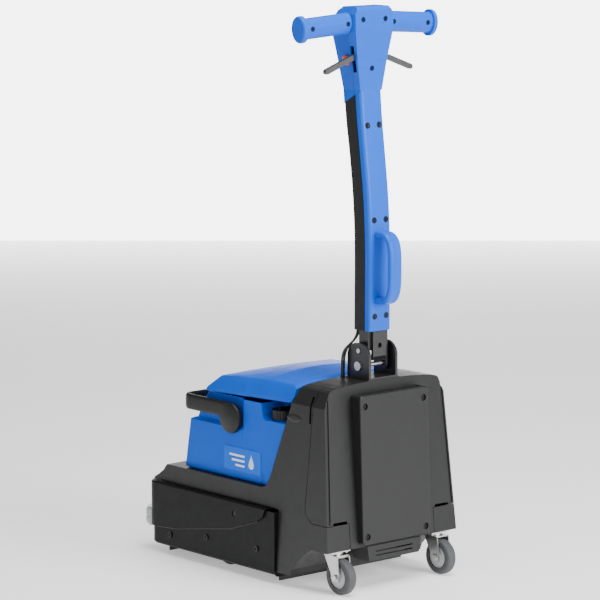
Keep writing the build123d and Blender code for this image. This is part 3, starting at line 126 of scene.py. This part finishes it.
# %% Make the finishes and give one to every node
BLUE = (0.0006, 0.095, 0.60)
CHARCOAL = (0.0115, 0.0117, 0.0122)
looks = {
    "housing_black": finish("housing_black", CHARCOAL, 0.38, 1100.0, 0.22, 0.08, mirror=0.36),
    "deck_black": finish("deck_black", (0.0058, 0.0060, 0.0064), 0.36, 1000.0, 0.18, 0.08, scuff=0.04,
                         mirror=0.13),
    "underbody_black": finish("underbody_black", (0.012, 0.012, 0.013), 0.6, 700.0, 0.2),
    "column_black": finish("column_black", (0.008, 0.0082, 0.0086), 0.5, 1300.0, 0.3, 0.06, mirror=0.3),
    "clevis_black": finish("clevis_black", (0.008, 0.008, 0.0085), 0.34, 1500.0, 0.25, 0.05, coat=0.25),
    "bolt_black": finish("bolt_black", (0.02, 0.02, 0.021), 0.32, 1500.0, 0.1, 0.05, metallic=0.6),
    "screws": finish("screws", (0.007, 0.007, 0.0075), 0.36, 1500.0, 0.1, 0.05, metallic=0.5),
    "zinc": finish("zinc", (0.56, 0.56, 0.55), 0.3, 300.0, 0.12, 0.12, metallic=1.0),
    "aluminium": finish("aluminium", (0.62, 0.63, 0.64), 0.36, 500.0, 0.1, 0.05, metallic=1.0),
    "roller_grey": finish("roller_grey", (0.42, 0.43, 0.44), 0.42, 900.0, 0.12, 0.05),
    "tyre_grey": finish("tyre_grey", (0.05, 0.052, 0.056), 0.55, 700.0, 0.3, 0.1, scuff=0.08),
    "blade_rubber": finish("blade_rubber", (0.02, 0.02, 0.021), 0.5, 600.0, 0.15),
    "bristle_grey": finish("bristle_grey", (0.02, 0.0205, 0.021), 0.55, 400.0, 0.9, 0.3),
    "motor_metal": finish("motor_metal", (0.4, 0.4, 0.41), 0.4, 500.0, 0.1, 0.05, metallic=1.0),
    "battery_black": finish("battery_black", (0.02, 0.02, 0.022), 0.5),
    "board_green": finish("board_green", (0.01, 0.12, 0.04), 0.3),
    "tank_blue": finish("tank_blue", BLUE, 0.42, 1200.0, 0.12, 0.05, mirror=0.12),
    "label_blue": finish("label_blue", (0.003, 0.13, 0.72), 0.38, 1400.0, 0.04, 0.03, mirror=0.14),
    "handle_blue": finish("handle_blue", BLUE, 0.36, 1200.0, 0.12, 0.05, mirror=0.2),
    "cap_black": finish("cap_black", (0.008, 0.0082, 0.0086), 0.4, 1000.0, 0.18, mirror=0.3),
    "grey_plastic": finish("grey_plastic", (0.045, 0.046, 0.048), 0.4, 1000.0, 0.15),
    "button_orange": finish("button_orange", (0.75, 0.10, 0.006), 0.35, 1000.0, 0.08),
    "cable_black": finish("cable_black", (0.012, 0.012, 0.013), 0.42, 1000.0, 0.12),
}
slots = {s["node"]: s["material_slot"] for s in frame["record"]["subparts"]}


def paint(obj, slot_name):
    """Gives obj one of the finishes, in place of what it had."""
    obj.data.materials.clear()
    obj.data.materials.append(looks[slot_name])


for node_name, node in nodes.items():
    paint(node, slots[node_name])
for node_name in ("pivot_bolt", "clevis_screws"):  # plated, so they shine against the black bracket
    paint(nodes[node_name], "zinc")
print("painted", len(nodes), "nodes with", len(looks), "finishes")

# %% [markdown]
# ## Softer edges
# A moulded edge is never sharp: the tool has a small radius there, and it catches the light as a thin
# bright line. A bevel on the CAD nodes, limited to edges that turn more than 35 degrees, adds it without
# changing any size.

# %% Bevel the edges of the nodes that no skin replaces
EDGE_MM = {
    "main_housing": 2.2, "rear_housing": 2.0, "rear_access_cover": 1.2, "rear_sill": 1.2, "bumper_cover": 1.6,
    "deck_skirt": 1.4, "head_front": 2.6, "head_rear": 2.2, "clevis": 0.8, "column_bracket": 0.6,
    "hinge_plate": 1.0, "fill_cap": 0.7, "lever_left": 2.0, "lever_right": 2.0, "grip_left": 0.8,
    "grip_right": 0.8,
    "caster_fork_left": 0.5, "caster_fork_right": 0.5, "wall_roller_left": 0.8, "wall_roller_right": 0.8,
    "underbody": 1.0, "caster_hub_left": 0.8, "caster_hub_right": 0.8,
}
for node_name, width in EDGE_MM.items():
    node = nodes[node_name]
    bevel = node.modifiers.new("soft edge", "BEVEL")
    bevel.width = width / 1000
    bevel.segments = 3
    bevel.limit_method = "ANGLE"
    bevel.angle_limit = math.radians(35)
    bevel.use_clamp_overlap = True
    bevel.harden_normals = False
print("bevelled", len(EDGE_MM))

# %% [markdown]
# ## Skins from rings
# Most mouldings here are a closed outline that changes slowly along a line: a tank from its floor to its
# rim, a handle along its bar. Such a shape is a stack of rings with the same number of points. The faces
# between neighbouring rings are index arithmetic, and a point in the middle of each end ring closes it.

# %% Helpers: a skin over rings, and a rounded outline
def skin(name, rings, body, slot_name, *replaced):
    """A closed mesh over rings, an array (ring, point, xyz) in metres. The face between ring i and i + 1 at
    point j is (i, j), (i, j + 1), (i + 1, j + 1), (i + 1, j). It rides a body and can stand for CAD nodes."""
    name = name.replace(" ", "_")
    rings = np.asarray(rings, float)
    m, n = rings.shape[:2]
    points = np.vstack([rings.reshape(-1, 3), rings[0].mean(0), rings[-1].mean(0)])
    i, j = np.meshgrid(np.arange(m - 1), np.arange(n), indexing="ij")
    k = (j + 1) % n
    sides = np.stack([i * n + j, i * n + k, (i + 1) * n + k, (i + 1) * n + j], -1).reshape(-1, 4)
    a = np.arange(n)
    b = (a + 1) % n
    low = np.stack([b, a, np.full(n, m * n)], -1)
    high = np.stack([(m - 1) * n + a, (m - 1) * n + b, np.full(n, m * n + 1)], -1)
    # Signed volume of the closed shape: positive when its faces look outwards.
    fan = np.vstack([sides[:, [0, 1, 2]], sides[:, [0, 2, 3]], low, high])
    p, q, r = points[fan[:, 0]], points[fan[:, 1]], points[fan[:, 2]]
    flip = np.einsum("ij,ij->i", p, np.cross(q, r)).sum() < 0
    step = -1 if flip else 1
    faces = [face for part in (sides, low, high) for face in part[:, ::step].tolist()]
    mesh = bpy.data.meshes.new(name)
    mesh.from_pydata(points.tolist(), [], faces)
    mesh.shade_smooth()
    obj = bpy.data.objects.new(name, mesh)
    bpy.context.collection.objects.link(obj)
    mesh.set_sharp_from_angle(angle=math.radians(38))
    obj.data.materials.append(looks[slot_name])
    if body:
        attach(obj, body)
    if replaced:
        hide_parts(*replaced)
    return obj


def outline(corners, radii, steps=6):
    """A closed outline with round corners. At each corner C with unit directions u and v to its neighbours,
    the curve is the quadratic one from C + r u by C to C + r v."""
    corners = np.asarray(corners, float)
    run = []
    for at, radius in enumerate(radii):
        here, before, after = corners[at], corners[at - 1], corners[(at + 1) % len(corners)]
        u = (before - here) / np.linalg.norm(before - here)
        v = (after - here) / np.linalg.norm(after - here)
        t = np.linspace(0, 1, steps)[:, None]
        run.append((1 - t) ** 2 * (here + radius * u) + 2 * t * (1 - t) * here + t**2 * (here + radius * v))
    return np.vstack(run)


def smooth(x, knots, values):
    """A smooth curve through (knots, values): piecewise cubic, whose slope at an inner knot is a weighted
    mean of the two chords beside it."""
    knots, values = np.asarray(knots, float), np.asarray(values, float)
    slopes = np.gradient(values, knots)
    at = np.clip(np.searchsorted(knots, x) - 1, 0, len(knots) - 2)
    h = knots[at + 1] - knots[at]
    t = (x - knots[at]) / h
    return ((2 * t**3 - 3 * t**2 + 1) * values[at] + (t**3 - 2 * t**2 + t) * h * slopes[at]
            + (3 * t**2 - 2 * t**3) * values[at + 1] + (t**3 - t**2) * h * slopes[at + 1])


MM = 0.001
print("helpers ready")

# %% [markdown]
# ## The carry handle
# Half way up the column a grip stands off the back, for lifting the machine. It is one blue moulding: a
# flat D with round shoulders and a shallow groove along its back. The path is a superellipse with powers
# of 4 and about 3.2, which makes the D squarish, and the section is an oval whose back is pressed in by
# 1.3 mm.

# %% Sweep the carry handle
turn = np.linspace(-math.pi / 2, math.pi / 2, 61)
grip_low, grip_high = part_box("carry_handle")
centre_z, tall = (grip_low[2] + grip_high[2]) / 2, (grip_high[2] - grip_low[2]) / 2 - 8 * MM
inner_y = 0.2445
reach = grip_high[1] - inner_y - 7.5 * MM
path_y = inner_y + reach * np.abs(np.cos(turn)) ** 0.5
path_z = centre_z + tall * np.sign(np.sin(turn)) * np.abs(np.sin(turn)) ** 0.62
way = np.stack([np.gradient(path_y), np.gradient(path_z)], -1)
way /= np.linalg.norm(way, axis=1)[:, None]
around = np.linspace(0, 2 * math.pi, 33)[:-1]
oval_x = 16.5 * MM * np.sign(np.cos(around)) * np.abs(np.cos(around)) ** 0.6
oval_n = 7.0 * MM * np.sign(np.sin(around)) * np.abs(np.sin(around)) ** 0.7
oval_n = oval_n - 1.3 * MM * np.exp(-((oval_x / (7 * MM)) ** 4)) * (np.sin(around) > 0)
normal = np.stack([way[:, 1], -way[:, 0]], -1)
rings = np.stack([np.broadcast_to(oval_x, (61, 32)), path_y[:, None] + normal[:, :1] * oval_n,
                  path_z[:, None] + normal[:, 1:] * oval_n], -1)
skin("carry handle", rings, "handle", "handle_blue", "carry_handle")
print("carry handle reaches y", round(float(rings[..., 1].max()), 4))

# %% [markdown]
# ## The tank
# The tank is a thin-walled box with soft corners. Its back slopes outwards as it rises, so that it lifts
# straight out, and its front slopes in. Its rings are level outlines. Above a ledge on the +X side, the
# outline steps in to leave a corner for the filler cap. At the rim the rings turn inwards and go down
# again, a wall's thickness in, so that the tank is open when its lid is up. Below the ledge of the cap's
# corner the outline's extra corners lie on the straight side, so that every ring keeps the same number of
# points.

# %% Skin the tank
TANK_LEVELS = [0.1975, 0.1977, 0.199, 0.203, 0.222, 0.25, 0.28, 0.306, 0.3095, 0.3105, 0.322, 0.3375, 0.3382,
               0.3386, 0.3396, 0.3412, 0.344, 0.348, 0.356, 0.366, 0.3715]
TANK_SKIN = 0.0035
LEDGE_Z = 0.338


def tank_ring(z, inset):
    """The outline at height z, pulled in by inset. The steps of the inner wall sit lower than those of the
    outer one by the same amount."""
    up = min(z + inset, TANK_LEVELS[-1])
    # The outer wall also curves in at its foot.
    shrink = inset + np.interp(z, [0.1975, 0.1977, 0.199, 0.203], [7, 4.5, 1.6, 0]) * MM * (inset == 0)
    front = np.interp(z, [0.1975, 0.25, 0.306, 0.3105, 0.345, 0.3715],
                      [-0.2045, -0.1965, -0.1875, -0.176, -0.160, -0.139]) + shrink
    rear = smooth(z, [0.19, 0.207, 0.224, 0.338, 0.38], [0.068, 0.083, 0.093, 0.134, 0.1465]) - shrink
    w = np.interp(z, [0.1975, 0.2135, 0.38], [0.1645, 0.1648, 0.1624]) - shrink
    deep = np.interp(up, [0.306, 0.3095, 0.3105], [0.0, 0.003, 0.0115])  # the bail's recess in the side
    cut = up > LEDGE_Z
    edge_y = 0.056 - inset
    if cut:
        edge_y += MM * np.interp(up, [LEDGE_Z, 0.3386, 0.3396, 0.3412, 0.344, 0.348, 0.3715],
                                 [17, 12, 8, 5, 2.5, 1, -3])
    inner, pull = (0.099 - inset, 0.0) if cut else (w, 4 * MM)
    back_side = [(inner, rear - (0.020 if cut else 0.026)), (inner, rear - (0.012 if cut else 0.014)),
                 (inner, rear)]
    plan = outline([(-w, -0.004), (-w + deep, -0.008 - deep), (-w + deep, front), (w - deep, front),
                    (w - deep, -0.008 - deep), (w, -0.004), (w, edge_y - pull), (inner, edge_y + pull),
                    *back_side, (-w, rear)],
                   [0.002] * 2 + [0.012] * 2 + [0.002] * 6 + [0.006, 0.008])
    return np.column_stack([plan, np.full(len(plan), z)])


inner_levels = [TANK_LEVELS[-1]] + [z - TANK_SKIN for z in TANK_LEVELS[-2:4:-1]] + [0.2065]
rings = [tank_ring(z, 0.0) for z in TANK_LEVELS] + [tank_ring(z, TANK_SKIN) for z in inner_levels]
tank = skin("tank shell", rings, "tank", "tank_blue", "tank")
print("tank outlines", len(rings), "faces", len(tank.data.polygons))

# %% [markdown]
# ## Bosses and filler neck
# The bail turns on a round boss on each side of the tank, and the filler cap sits on a short neck. A boss
# could be a primitive cylinder with a bevel. Rings along its axis do the same in one step and leave a
# soft rim.

# %% Bosses and neck
def drum(name, centre, axis, radius, length, body, slot_name, *replaced, lip=0.0012, steps=48):
    """A short round bar with soft rims: within lip of each end, its radius drops by lip. The axis is 0 for X,
    1 for Y and 2 for Z."""
    turn = np.linspace(0, 2 * math.pi, steps + 1)[:-1]
    at = np.array([-length / 2, -length / 2 + 0.3 * lip, -length / 2 + lip, length / 2 - lip,
                   length / 2 - 0.3 * lip, length / 2])
    size = np.array([radius - lip, radius - 0.3 * lip, radius, radius, radius - 0.3 * lip, radius - lip])
    circle = np.stack([np.cos(turn), np.sin(turn)], -1)
    out = np.zeros((len(at), steps, 3))
    others = [k for k in range(3) if k != axis]
    out[..., axis] = at[:, None]
    out[..., others[0]] = size[:, None] * circle[:, 0]
    out[..., others[1]] = size[:, None] * circle[:, 1]
    return skin(name, out + np.asarray(centre), body, slot_name, *replaced)


BAIL_PIVOT = (0.0, -0.038, 0.334)
for side in (-1, 1):
    drum(f"bail boss {side}", (side * 0.1573, *BAIL_PIVOT[1:]), 0, 0.016, 0.0125, "tank", "tank_blue")
drum("filler neck", (0.130, 0.092, 0.3415), 2, 0.0195, 0.009, "tank", "tank_blue")

# %% [markdown]
# ## The lid
# The lid is a shallow crowned cap. Its side view rises from the front, is highest a little behind the
# middle and drops to the hinge; its cross view has upright rims, a sloping facet and a gentle crown. The
# rings run from front to back. Each ring's crown is a parabola: height = edge + rise x (1 - (x / w)
# squared).

# %% Skin the lid
stations = np.concatenate([[-0.1345, -0.1342, -0.1325], np.linspace(-0.129, -0.0915, 10),
                           [-0.089, -0.0865, -0.083], np.linspace(-0.076, 0.146, 40),
                           [0.152, 0.1555, 0.1572]])
edge = np.interp(stations, [-0.1345, -0.0890, -0.0845, -0.02, 0.06, 0.15, 0.158],
                 [0.3790, 0.4110, 0.4125, 0.4165, 0.4205, 0.4215, 0.4150])
rise = np.interp(stations, [-0.1345, -0.089, -0.05, 0.055, 0.15, 0.158],
                 [0.0, 0.0025, 0.0075, 0.0150, 0.0095, 0.006])
crest = edge + rise
rim = 0.3742 + (stations + 0.136) * 11 / 283
rim = np.where(stations > 0.147, rim + (stations - 0.147) * 1.4, rim)
# The front half of the side stands 2.5 mm prouder than the rear half, with a slanted step between them.
half = 0.1628 + np.interp(stations, [-0.1345, -0.131, -0.125, 0.004, 0.012, 0.15, 0.158],
                          [-0.005, -0.001, 0.0, 0.0, -0.0025, -0.0025, -0.005])
rings = []
for y, top, corner_z, base, w in zip(stations, crest, edge, rim, half):
    corner_z = max(corner_z, base + 0.0035)
    shoulder = base + min(0.010, 0.3 * (corner_z - base))
    lean = 0.0135 * (corner_z - shoulder) / 0.037
    top_w = w - lean - 0.0016
    across_x = np.linspace(-1, 1, 41) * top_w
    crown = corner_z + 0.0003 + max(top - corner_z, 0) * (1 - (across_x / top_w) ** 2)
    left = [(-w + 0.0012, base), (-w, base + 0.0012), (-w, shoulder - 0.001), (-w + 0.0003, shoulder + 0.001),
            (-w + lean * 0.55, shoulder + 0.55 * (corner_z - shoulder)), (-w + lean, corner_z - 0.0012)]
    right = [(-x, z) for x, z in reversed(left)]
    lower = [(x, base) for x in np.linspace(w - 0.02, -w + 0.02, 9)]
    section = np.array(left + list(zip(across_x, crown)) + right + lower)
    rings.append(np.column_stack([section[:, 0], np.full(len(section), y), section[:, 1]]))
skin("lid shell", rings, "lid", "tank_blue", "tank_lid")
print("lid crown", round(float(crest.max()), 4))

# %% [markdown]
# ## The bail
# The carrying bail is a flat black strap on two pivots. It lies forward around the front of the tank and
# swings up to lift it. Its path is two straight arms and a front bar with wide corners; the strap is
# deeper than it is thick.

# %% Sweep the bail
BAIL_X, BAIL_FRONT, BAIL_MID = 0.1696, -0.1945, 0.345
corner = 0.020
bend = np.linspace(0, math.pi / 2, 13)
right_arm = [(BAIL_X, y) for y in np.linspace(BAIL_PIVOT[1] - 0.004, BAIL_FRONT + corner + 0.002, 12)]
right_bend = [(BAIL_X - corner + corner * math.cos(a), BAIL_FRONT + corner - corner * math.sin(a))
              for a in bend]
bar = [(x, BAIL_FRONT) for x in np.linspace(BAIL_X - corner - 0.004, -(BAIL_X - corner - 0.004), 15)]
left_side = [(-x, y) for x, y in reversed(right_arm + right_bend)]
path = np.array(right_arm + right_bend + bar + left_side)
way = np.gradient(path, axis=0)
way /= np.linalg.norm(way, axis=1)[:, None]
normal = np.stack([way[:, 1], -way[:, 0]], -1)
thick = 5.9 * MM * np.sign(np.cos(around)) * np.abs(np.cos(around)) ** 0.55
deep = 16.8 * MM * np.sign(np.sin(around)) * np.abs(np.sin(around)) ** 0.45
rings = np.stack([path[:, :1] + normal[:, :1] * thick, path[:, 1:] + normal[:, 1:] * thick,
                  BAIL_MID + np.broadcast_to(deep, (len(path), 32))], -1)
skin("bail strap", rings, "bail", "cap_black", "bail")
for side in (-1, 1):
    drum(f"bail disc {side}", (side * BAIL_X, -0.038, 0.3285), 0, 0.0330, 0.0118, "bail", "cap_black",
         lip=0.003)
print("bail path", len(path), "stations")

# %% [markdown]
# ## The column
# The column is bowed: straight at the foot, then leaning towards the machine. A black front shell meets a
# blue rear shell in a fine seam. Both are skins over level rings that follow one smooth rear line.

# %% Skin the two column shells
REAR_LINE = ([0.533, 0.60, 0.70, 0.765, 0.83, 0.904, 0.978, 1.0325],
             [0.2460, 0.2462, 0.2462, 0.2438, 0.2385, 0.2292, 0.2198, 0.2150])
COLUMN_FOOT, COLUMN_TOP, LEAN_FROM = 0.533, 1.0325, 0.90
levels = np.linspace(COLUMN_FOOT, COLUMN_TOP, 60)
line = smooth(levels, *REAR_LINE)
COLUMN_W, COLUMN_D, SPLIT = 0.0303, 0.0528, 0.0163


def tilt(z, y, at_top):
    """The height at depth y of a ring at z: level where at_top is 0, along the head's seam where it is 1. The
    seam drops 0.58 m for each metre forward."""
    return z + at_top * 0.58 * (y - 0.215)


for name, rear_shell in (("column rear shell", True), ("column front shell", False)):
    rings = []
    for z, y in zip(levels, line):
        if rear_shell:
            plan = outline([(-COLUMN_W, y), (COLUMN_W, y), (COLUMN_W, y - SPLIT + 0.0006),
                            (-COLUMN_W, y - SPLIT + 0.0006)][::-1], [0.0008, 0.0008, 0.009, 0.009], 9)
        else:
            plan = outline([(-COLUMN_W, y - SPLIT - 0.0006), (COLUMN_W, y - SPLIT - 0.0006),
                            (COLUMN_W, y - COLUMN_D), (-COLUMN_W, y - COLUMN_D)][::-1],
                           [0.010, 0.010, 0.0008, 0.0008], 9)
        fade = np.clip((z - LEAN_FROM) / (COLUMN_TOP - LEAN_FROM), 0, 1)
        rings.append(np.column_stack([plan, tilt(z, plan[:, 1], fade)]))
    node_name = "column_rear" if rear_shell else "column_front"
    skin(name, rings, "handle", slots[node_name], node_name)
print("column shells from", levels[0], "to", levels[-1])

# %% [markdown]
# ## Screw recesses
# Six screws hold the two halves of the column together, each at the bottom of a round recess. Cutting
# them in would need a boolean on a curved shell. A dark stepped disc on the surface reads as a recess and
# leaves the shell's mesh clean. Its dark colour is partly the black screw and partly painted shade in the
# recess.

# %% Screw recesses up the column
def recess(name, x, y, z, lean=0.0):
    """A dark disc that reads as a recess, partly black screw and partly painted shade: its rim stands 0.45 mm
    proud, with two steps down inside it.
    """
    turn = np.linspace(0, 2 * math.pi, 37)[:-1]
    sizes = [6.6, 6.3, 5.6, 5.4, 3.2, 3.0, 2.6]
    depth = [-0.3, 0.45, 0.45, 0.16, 0.16, 0.08, 0.08]
    out = np.stack([np.stack([x + s * MM * np.cos(turn), y + d * MM - lean * s * MM * np.sin(turn),
                              z + s * MM * np.sin(turn)], -1) for s, d in zip(sizes, depth)])
    return skin(name, out, "handle", "screws")


for side in (-1, 1):
    for z in (0.564, 0.765, 0.960):
        y = smooth(z, *REAR_LINE) + (0.0004 if z > 0.9 else 0.0)
        slope = float(np.diff(smooth(np.array([z, z + 0.002]), *REAR_LINE))[0]) / 0.002
        # Each disc is partly the black screw and partly painted shade in the recess around it.
        recess(f"column screw {side} {z}", side * 0.016, y, z, -slope)
print("recesses done")

# %% [markdown]
# ## Small marks on the body
# The bumper's lower edge is drawn by painted shade: a thin black tube on the skirt stands for the
# shadow gap under it. A pointed oval mark, high on each side of the body and behind the tank, stands
# 1.2 mm out of it.

# %% Painted shade line under the bumper, and the oval marks
# Painted shade: a thin black tube along the bumper's lower edge stands for the shadow gap there.
shade_line_y = np.linspace(0.0755, -0.264, 40)
shade_line_z = np.interp(shade_line_y, [-0.294, -0.200, -0.016, 0.076], [0.057, 0.064, 0.096, 0.127]) - 0.0010
shade_line_turn = np.linspace(0, 2 * math.pi, 13)[:-1]
MARK_Y, MARK_Z = 0.168, 0.3575
for side in (-1, 1):
    rings = np.stack([np.broadcast_to(side * (0.1902 + 0.0013 * np.cos(shade_line_turn)), (40, 12)),
                      np.broadcast_to(shade_line_y[:, None], (40, 12)),
                      shade_line_z[:, None] + 0.0013 * np.sin(shade_line_turn)], -1)
    skin(f"bumper lip {side}", rings, "chassis", "blade_rubber")
    t = np.linspace(0, 2 * math.pi, 49)[:-1]
    oval_y = MARK_Y + 0.024 * np.cos(t)
    oval_z = MARK_Z + 0.0085 * np.sin(t) * np.abs(np.sin(t)) ** 0.5
    # The side of the body leans in by 14.5 mm over a height of 288 mm.
    at_x = 0.1675 + (0.388 - oval_z) * (0.182 - 0.1675) / 0.288
    rings = [np.column_stack([side * (at_x + out), MARK_Y + (oval_y - MARK_Y) * k,
                              MARK_Z + (oval_z - MARK_Z) * k])
             for out, k in ((-0.001, 1.0), (0.0002, 1.0), (0.0010, 0.86), (0.0012, 0.6))]
    skin(f"side mark {side}", rings, "chassis", "housing_black")
print("shade line and marks done")

# %% [markdown]
# ## The cable
# Two thin black cables leave the top of the body beside the bracket and go into the foot of the column.
# They bend when the handle folds, so each is a round tube along a smooth curve, blended from the body to
# the handle.

# %% Run the two cables
turn = np.linspace(0, 2 * math.pi, 17)[:-1]
knots = [0.0, 0.3, 0.55, 0.78, 1.0]
u = np.linspace(0, 1, 49)
for at, dx in enumerate((-0.0029, 0.0029)):
    run = np.stack([smooth(u, knots, [0.048 + dx, 0.048 + dx, 0.0455 + dx, 0.024 - dx * 0.5, 0.020 - dx]),
                    smooth(u, knots, [0.183, 0.1832, 0.1868, 0.1995, 0.202]),
                    smooth(u, knots, [0.408, 0.452, 0.488, 0.520, 0.559])], -1)
    way = np.gradient(run, axis=0)
    way /= np.linalg.norm(way, axis=1)[:, None]
    side_way = np.cross(way, [0.0, 1.0, 0.0])
    side_way /= np.linalg.norm(side_way, axis=1)[:, None]
    up_way = np.cross(side_way, way)
    rings = (run[:, None] + 2.35 * MM * (np.cos(turn)[None, :, None] * side_way[:, None]
                                         + np.sin(turn)[None, :, None] * up_way[:, None]))
    cable = skin(f"handle cable {at}", rings, None, "cable_black", "handle_cable")
    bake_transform(cable)
print("length of the last cable", round(float(np.linalg.norm(np.diff(run, axis=0), axis=1).sum()), 4))

# %% [markdown]
# ## The label
# A plain panel on each side of the tank carries a water drop and three bars, raised a quarter of a
# millimetre, in a pale ink. The drop's outline is an oval drawn out to a point at its top: y = a sin t
# sin(t / 2) squared, z = b cos t.

# %% Draw the label's marks
looks["label_ink"] = finish("label_ink", (0.72, 0.76, 0.8), 0.4, 1200.0, 0.05, 0.03)


def label_mark(name, side, plan):
    """A thin flat plate on the label from an outline of (y, z) points, standing 0.25 mm out of it."""
    plan = np.asarray(plan, float)
    wall_x = 0.1658 - (plan[:, 1] - 0.2135) * 3 / 186.5
    out = np.stack([np.column_stack([side * (wall_x + d), plan]) for d in (-0.0006, 0.00015, 0.00025)])
    obj = skin(name, out, "tank", "label_blue")
    obj.data.materials.clear()
    obj.data.materials.append(looks["label_ink"])
    return obj


t = np.linspace(0, 2 * math.pi, 65)[:-1]
for side in (-1, 1):
    drop = np.stack([0.024 + 0.0125 * np.sin(t) * np.sin(t / 2) ** 2, 0.241 + 0.0155 * np.cos(t)], -1)
    label_mark(f"label drop {side}", side, drop)
    for k, long in enumerate((0.050, 0.042, 0.030)):
        z = 0.2515 - 0.0105 * k
        bar_plan = outline([(0.002, z), (0.002 - long, z), (0.002 - long, z - 0.0045), (0.002, z - 0.0045)],
                           [0.002] * 4, 5)
        label_mark(f"label bar {side} {k}", side, bar_plan)
print("label marks done")

# %% [markdown]
# ## Floor and surround
# The machine stands on a plain pale floor that glows a little, as a lit studio sweep does, so that its
# shadow stays light. A low white wall stands beyond the machine, opposite the camera. A taller one would
# mirror in the lid.

# %% Floor and surround
bpy.ops.mesh.primitive_plane_add(size=40, location=(0, 0, 0))
floor = bpy.context.object
floor.name = "floor"
floor_look = finish("floor", (0.9, 0.9, 0.9), 0.6, 60.0, 0.02, 0.01)
floor_shader = next(n for n in floor_look.node_tree.nodes if n.type == "BSDF_PRINCIPLED")
floor_shader.inputs["Emission Color"].default_value = (1.0, 1.0, 1.0, 1.0)
floor_shader.inputs["Emission Strength"].default_value = 0.45
floor.data.materials.append(floor_look)
world = bpy.context.scene.world or bpy.data.worlds.new("studio")
bpy.context.scene.world = world
world.use_nodes = True
backdrop = world.node_tree.nodes.get("Background") or world.node_tree.nodes.new("ShaderNodeBackground")
backdrop.inputs["Color"].default_value = (1.0, 1.0, 1.0, 1.0)
backdrop.inputs["Strength"].default_value = 0.27

wall_look = bpy.data.materials.new("white_wall")
wall_look.use_nodes = True
wall_nodes = wall_look.node_tree
wall_nodes.nodes.clear()
glow, wall_out = wall_nodes.nodes.new("ShaderNodeEmission"), wall_nodes.nodes.new("ShaderNodeOutputMaterial")
glow.inputs["Color"].default_value = (1.0, 1.0, 1.0, 1.0)
glow.inputs["Strength"].default_value = 6.0
wall_nodes.links.new(glow.outputs["Emission"], wall_out.inputs["Surface"])
VIEW_AZIMUTH, WALL_AWAY = math.radians(139.2), 5.2
bpy.ops.mesh.primitive_plane_add(size=1, rotation=(math.pi / 2, 0, VIEW_AZIMUTH),
                                 location=(-WALL_AWAY * math.sin(VIEW_AZIMUTH),
                                           WALL_AWAY * math.cos(VIEW_AZIMUTH), 0.5))
wall = bpy.context.object
wall.name = "white_wall"
wall.scale = (4.2, 1.1, 1)
wall.data.materials.append(wall_look)

# %% [markdown]
# ## Light
# Three square soft lights: one overhead, a strong one behind that lights the rear face, and a weak one
# from the +X side. The surround is dim: black plastic shows little but what it mirrors, and a bright one
# would grey it.

# %% Soft lights
def soft_light(name, at, aim, size, watts):
    """A square area light at one point, turned to face another."""
    lamp = bpy.data.lights.new(name, "AREA")
    lamp.energy, lamp.size = watts, size
    obj = bpy.data.objects.new(name, lamp)
    bpy.context.collection.objects.link(obj)
    obj.location = at
    way = np.array(aim, float) - np.array(at, float)
    yaw = math.atan2(way[1], way[0])
    pitch = math.atan2(math.hypot(way[0], way[1]), -way[2])
    obj.rotation_euler = (pitch, 0.0, yaw - math.pi / 2)
    return obj


soft_light("overhead", (0.1, 0.9, 3.4), (0, 0.1, 0.4), 2.2, 150)
soft_light("right side", (3.9, 0.9, 1.9), (0, 0, 0.6), 1.8, 30)
soft_light("behind", (-0.9, 4.2, 1.8), (0, 0, 0.5), 2.0, 235)

# %% [markdown]
# ## Camera
# It stands far off with a long lens, behind the machine on its +X side, a little above the handle. A long
# lens keeps upright edges nearly parallel.

# %% Camera
lens = bpy.data.cameras.new("camera")
lens.lens, lens.sensor_width, lens.clip_end = 191.3, 36.0, 100.0
camera = bpy.data.objects.new("camera", lens)
bpy.context.collection.objects.link(camera)
azimuth, elevation, distance = VIEW_AZIMUTH, math.radians(8.7), 6.6
target = np.array([0.1406, 0.153, 0.6006])
back = np.array([math.sin(azimuth) * math.cos(elevation), -math.cos(azimuth) * math.cos(elevation),
                 math.sin(elevation)])
camera.location = target + distance * back
camera.rotation_euler = (math.pi / 2 - elevation, 0.0, math.atan2(-back[0], back[1]) + math.pi)
bpy.context.scene.camera = camera
print("camera at", [round(float(v), 3) for v in camera.location])
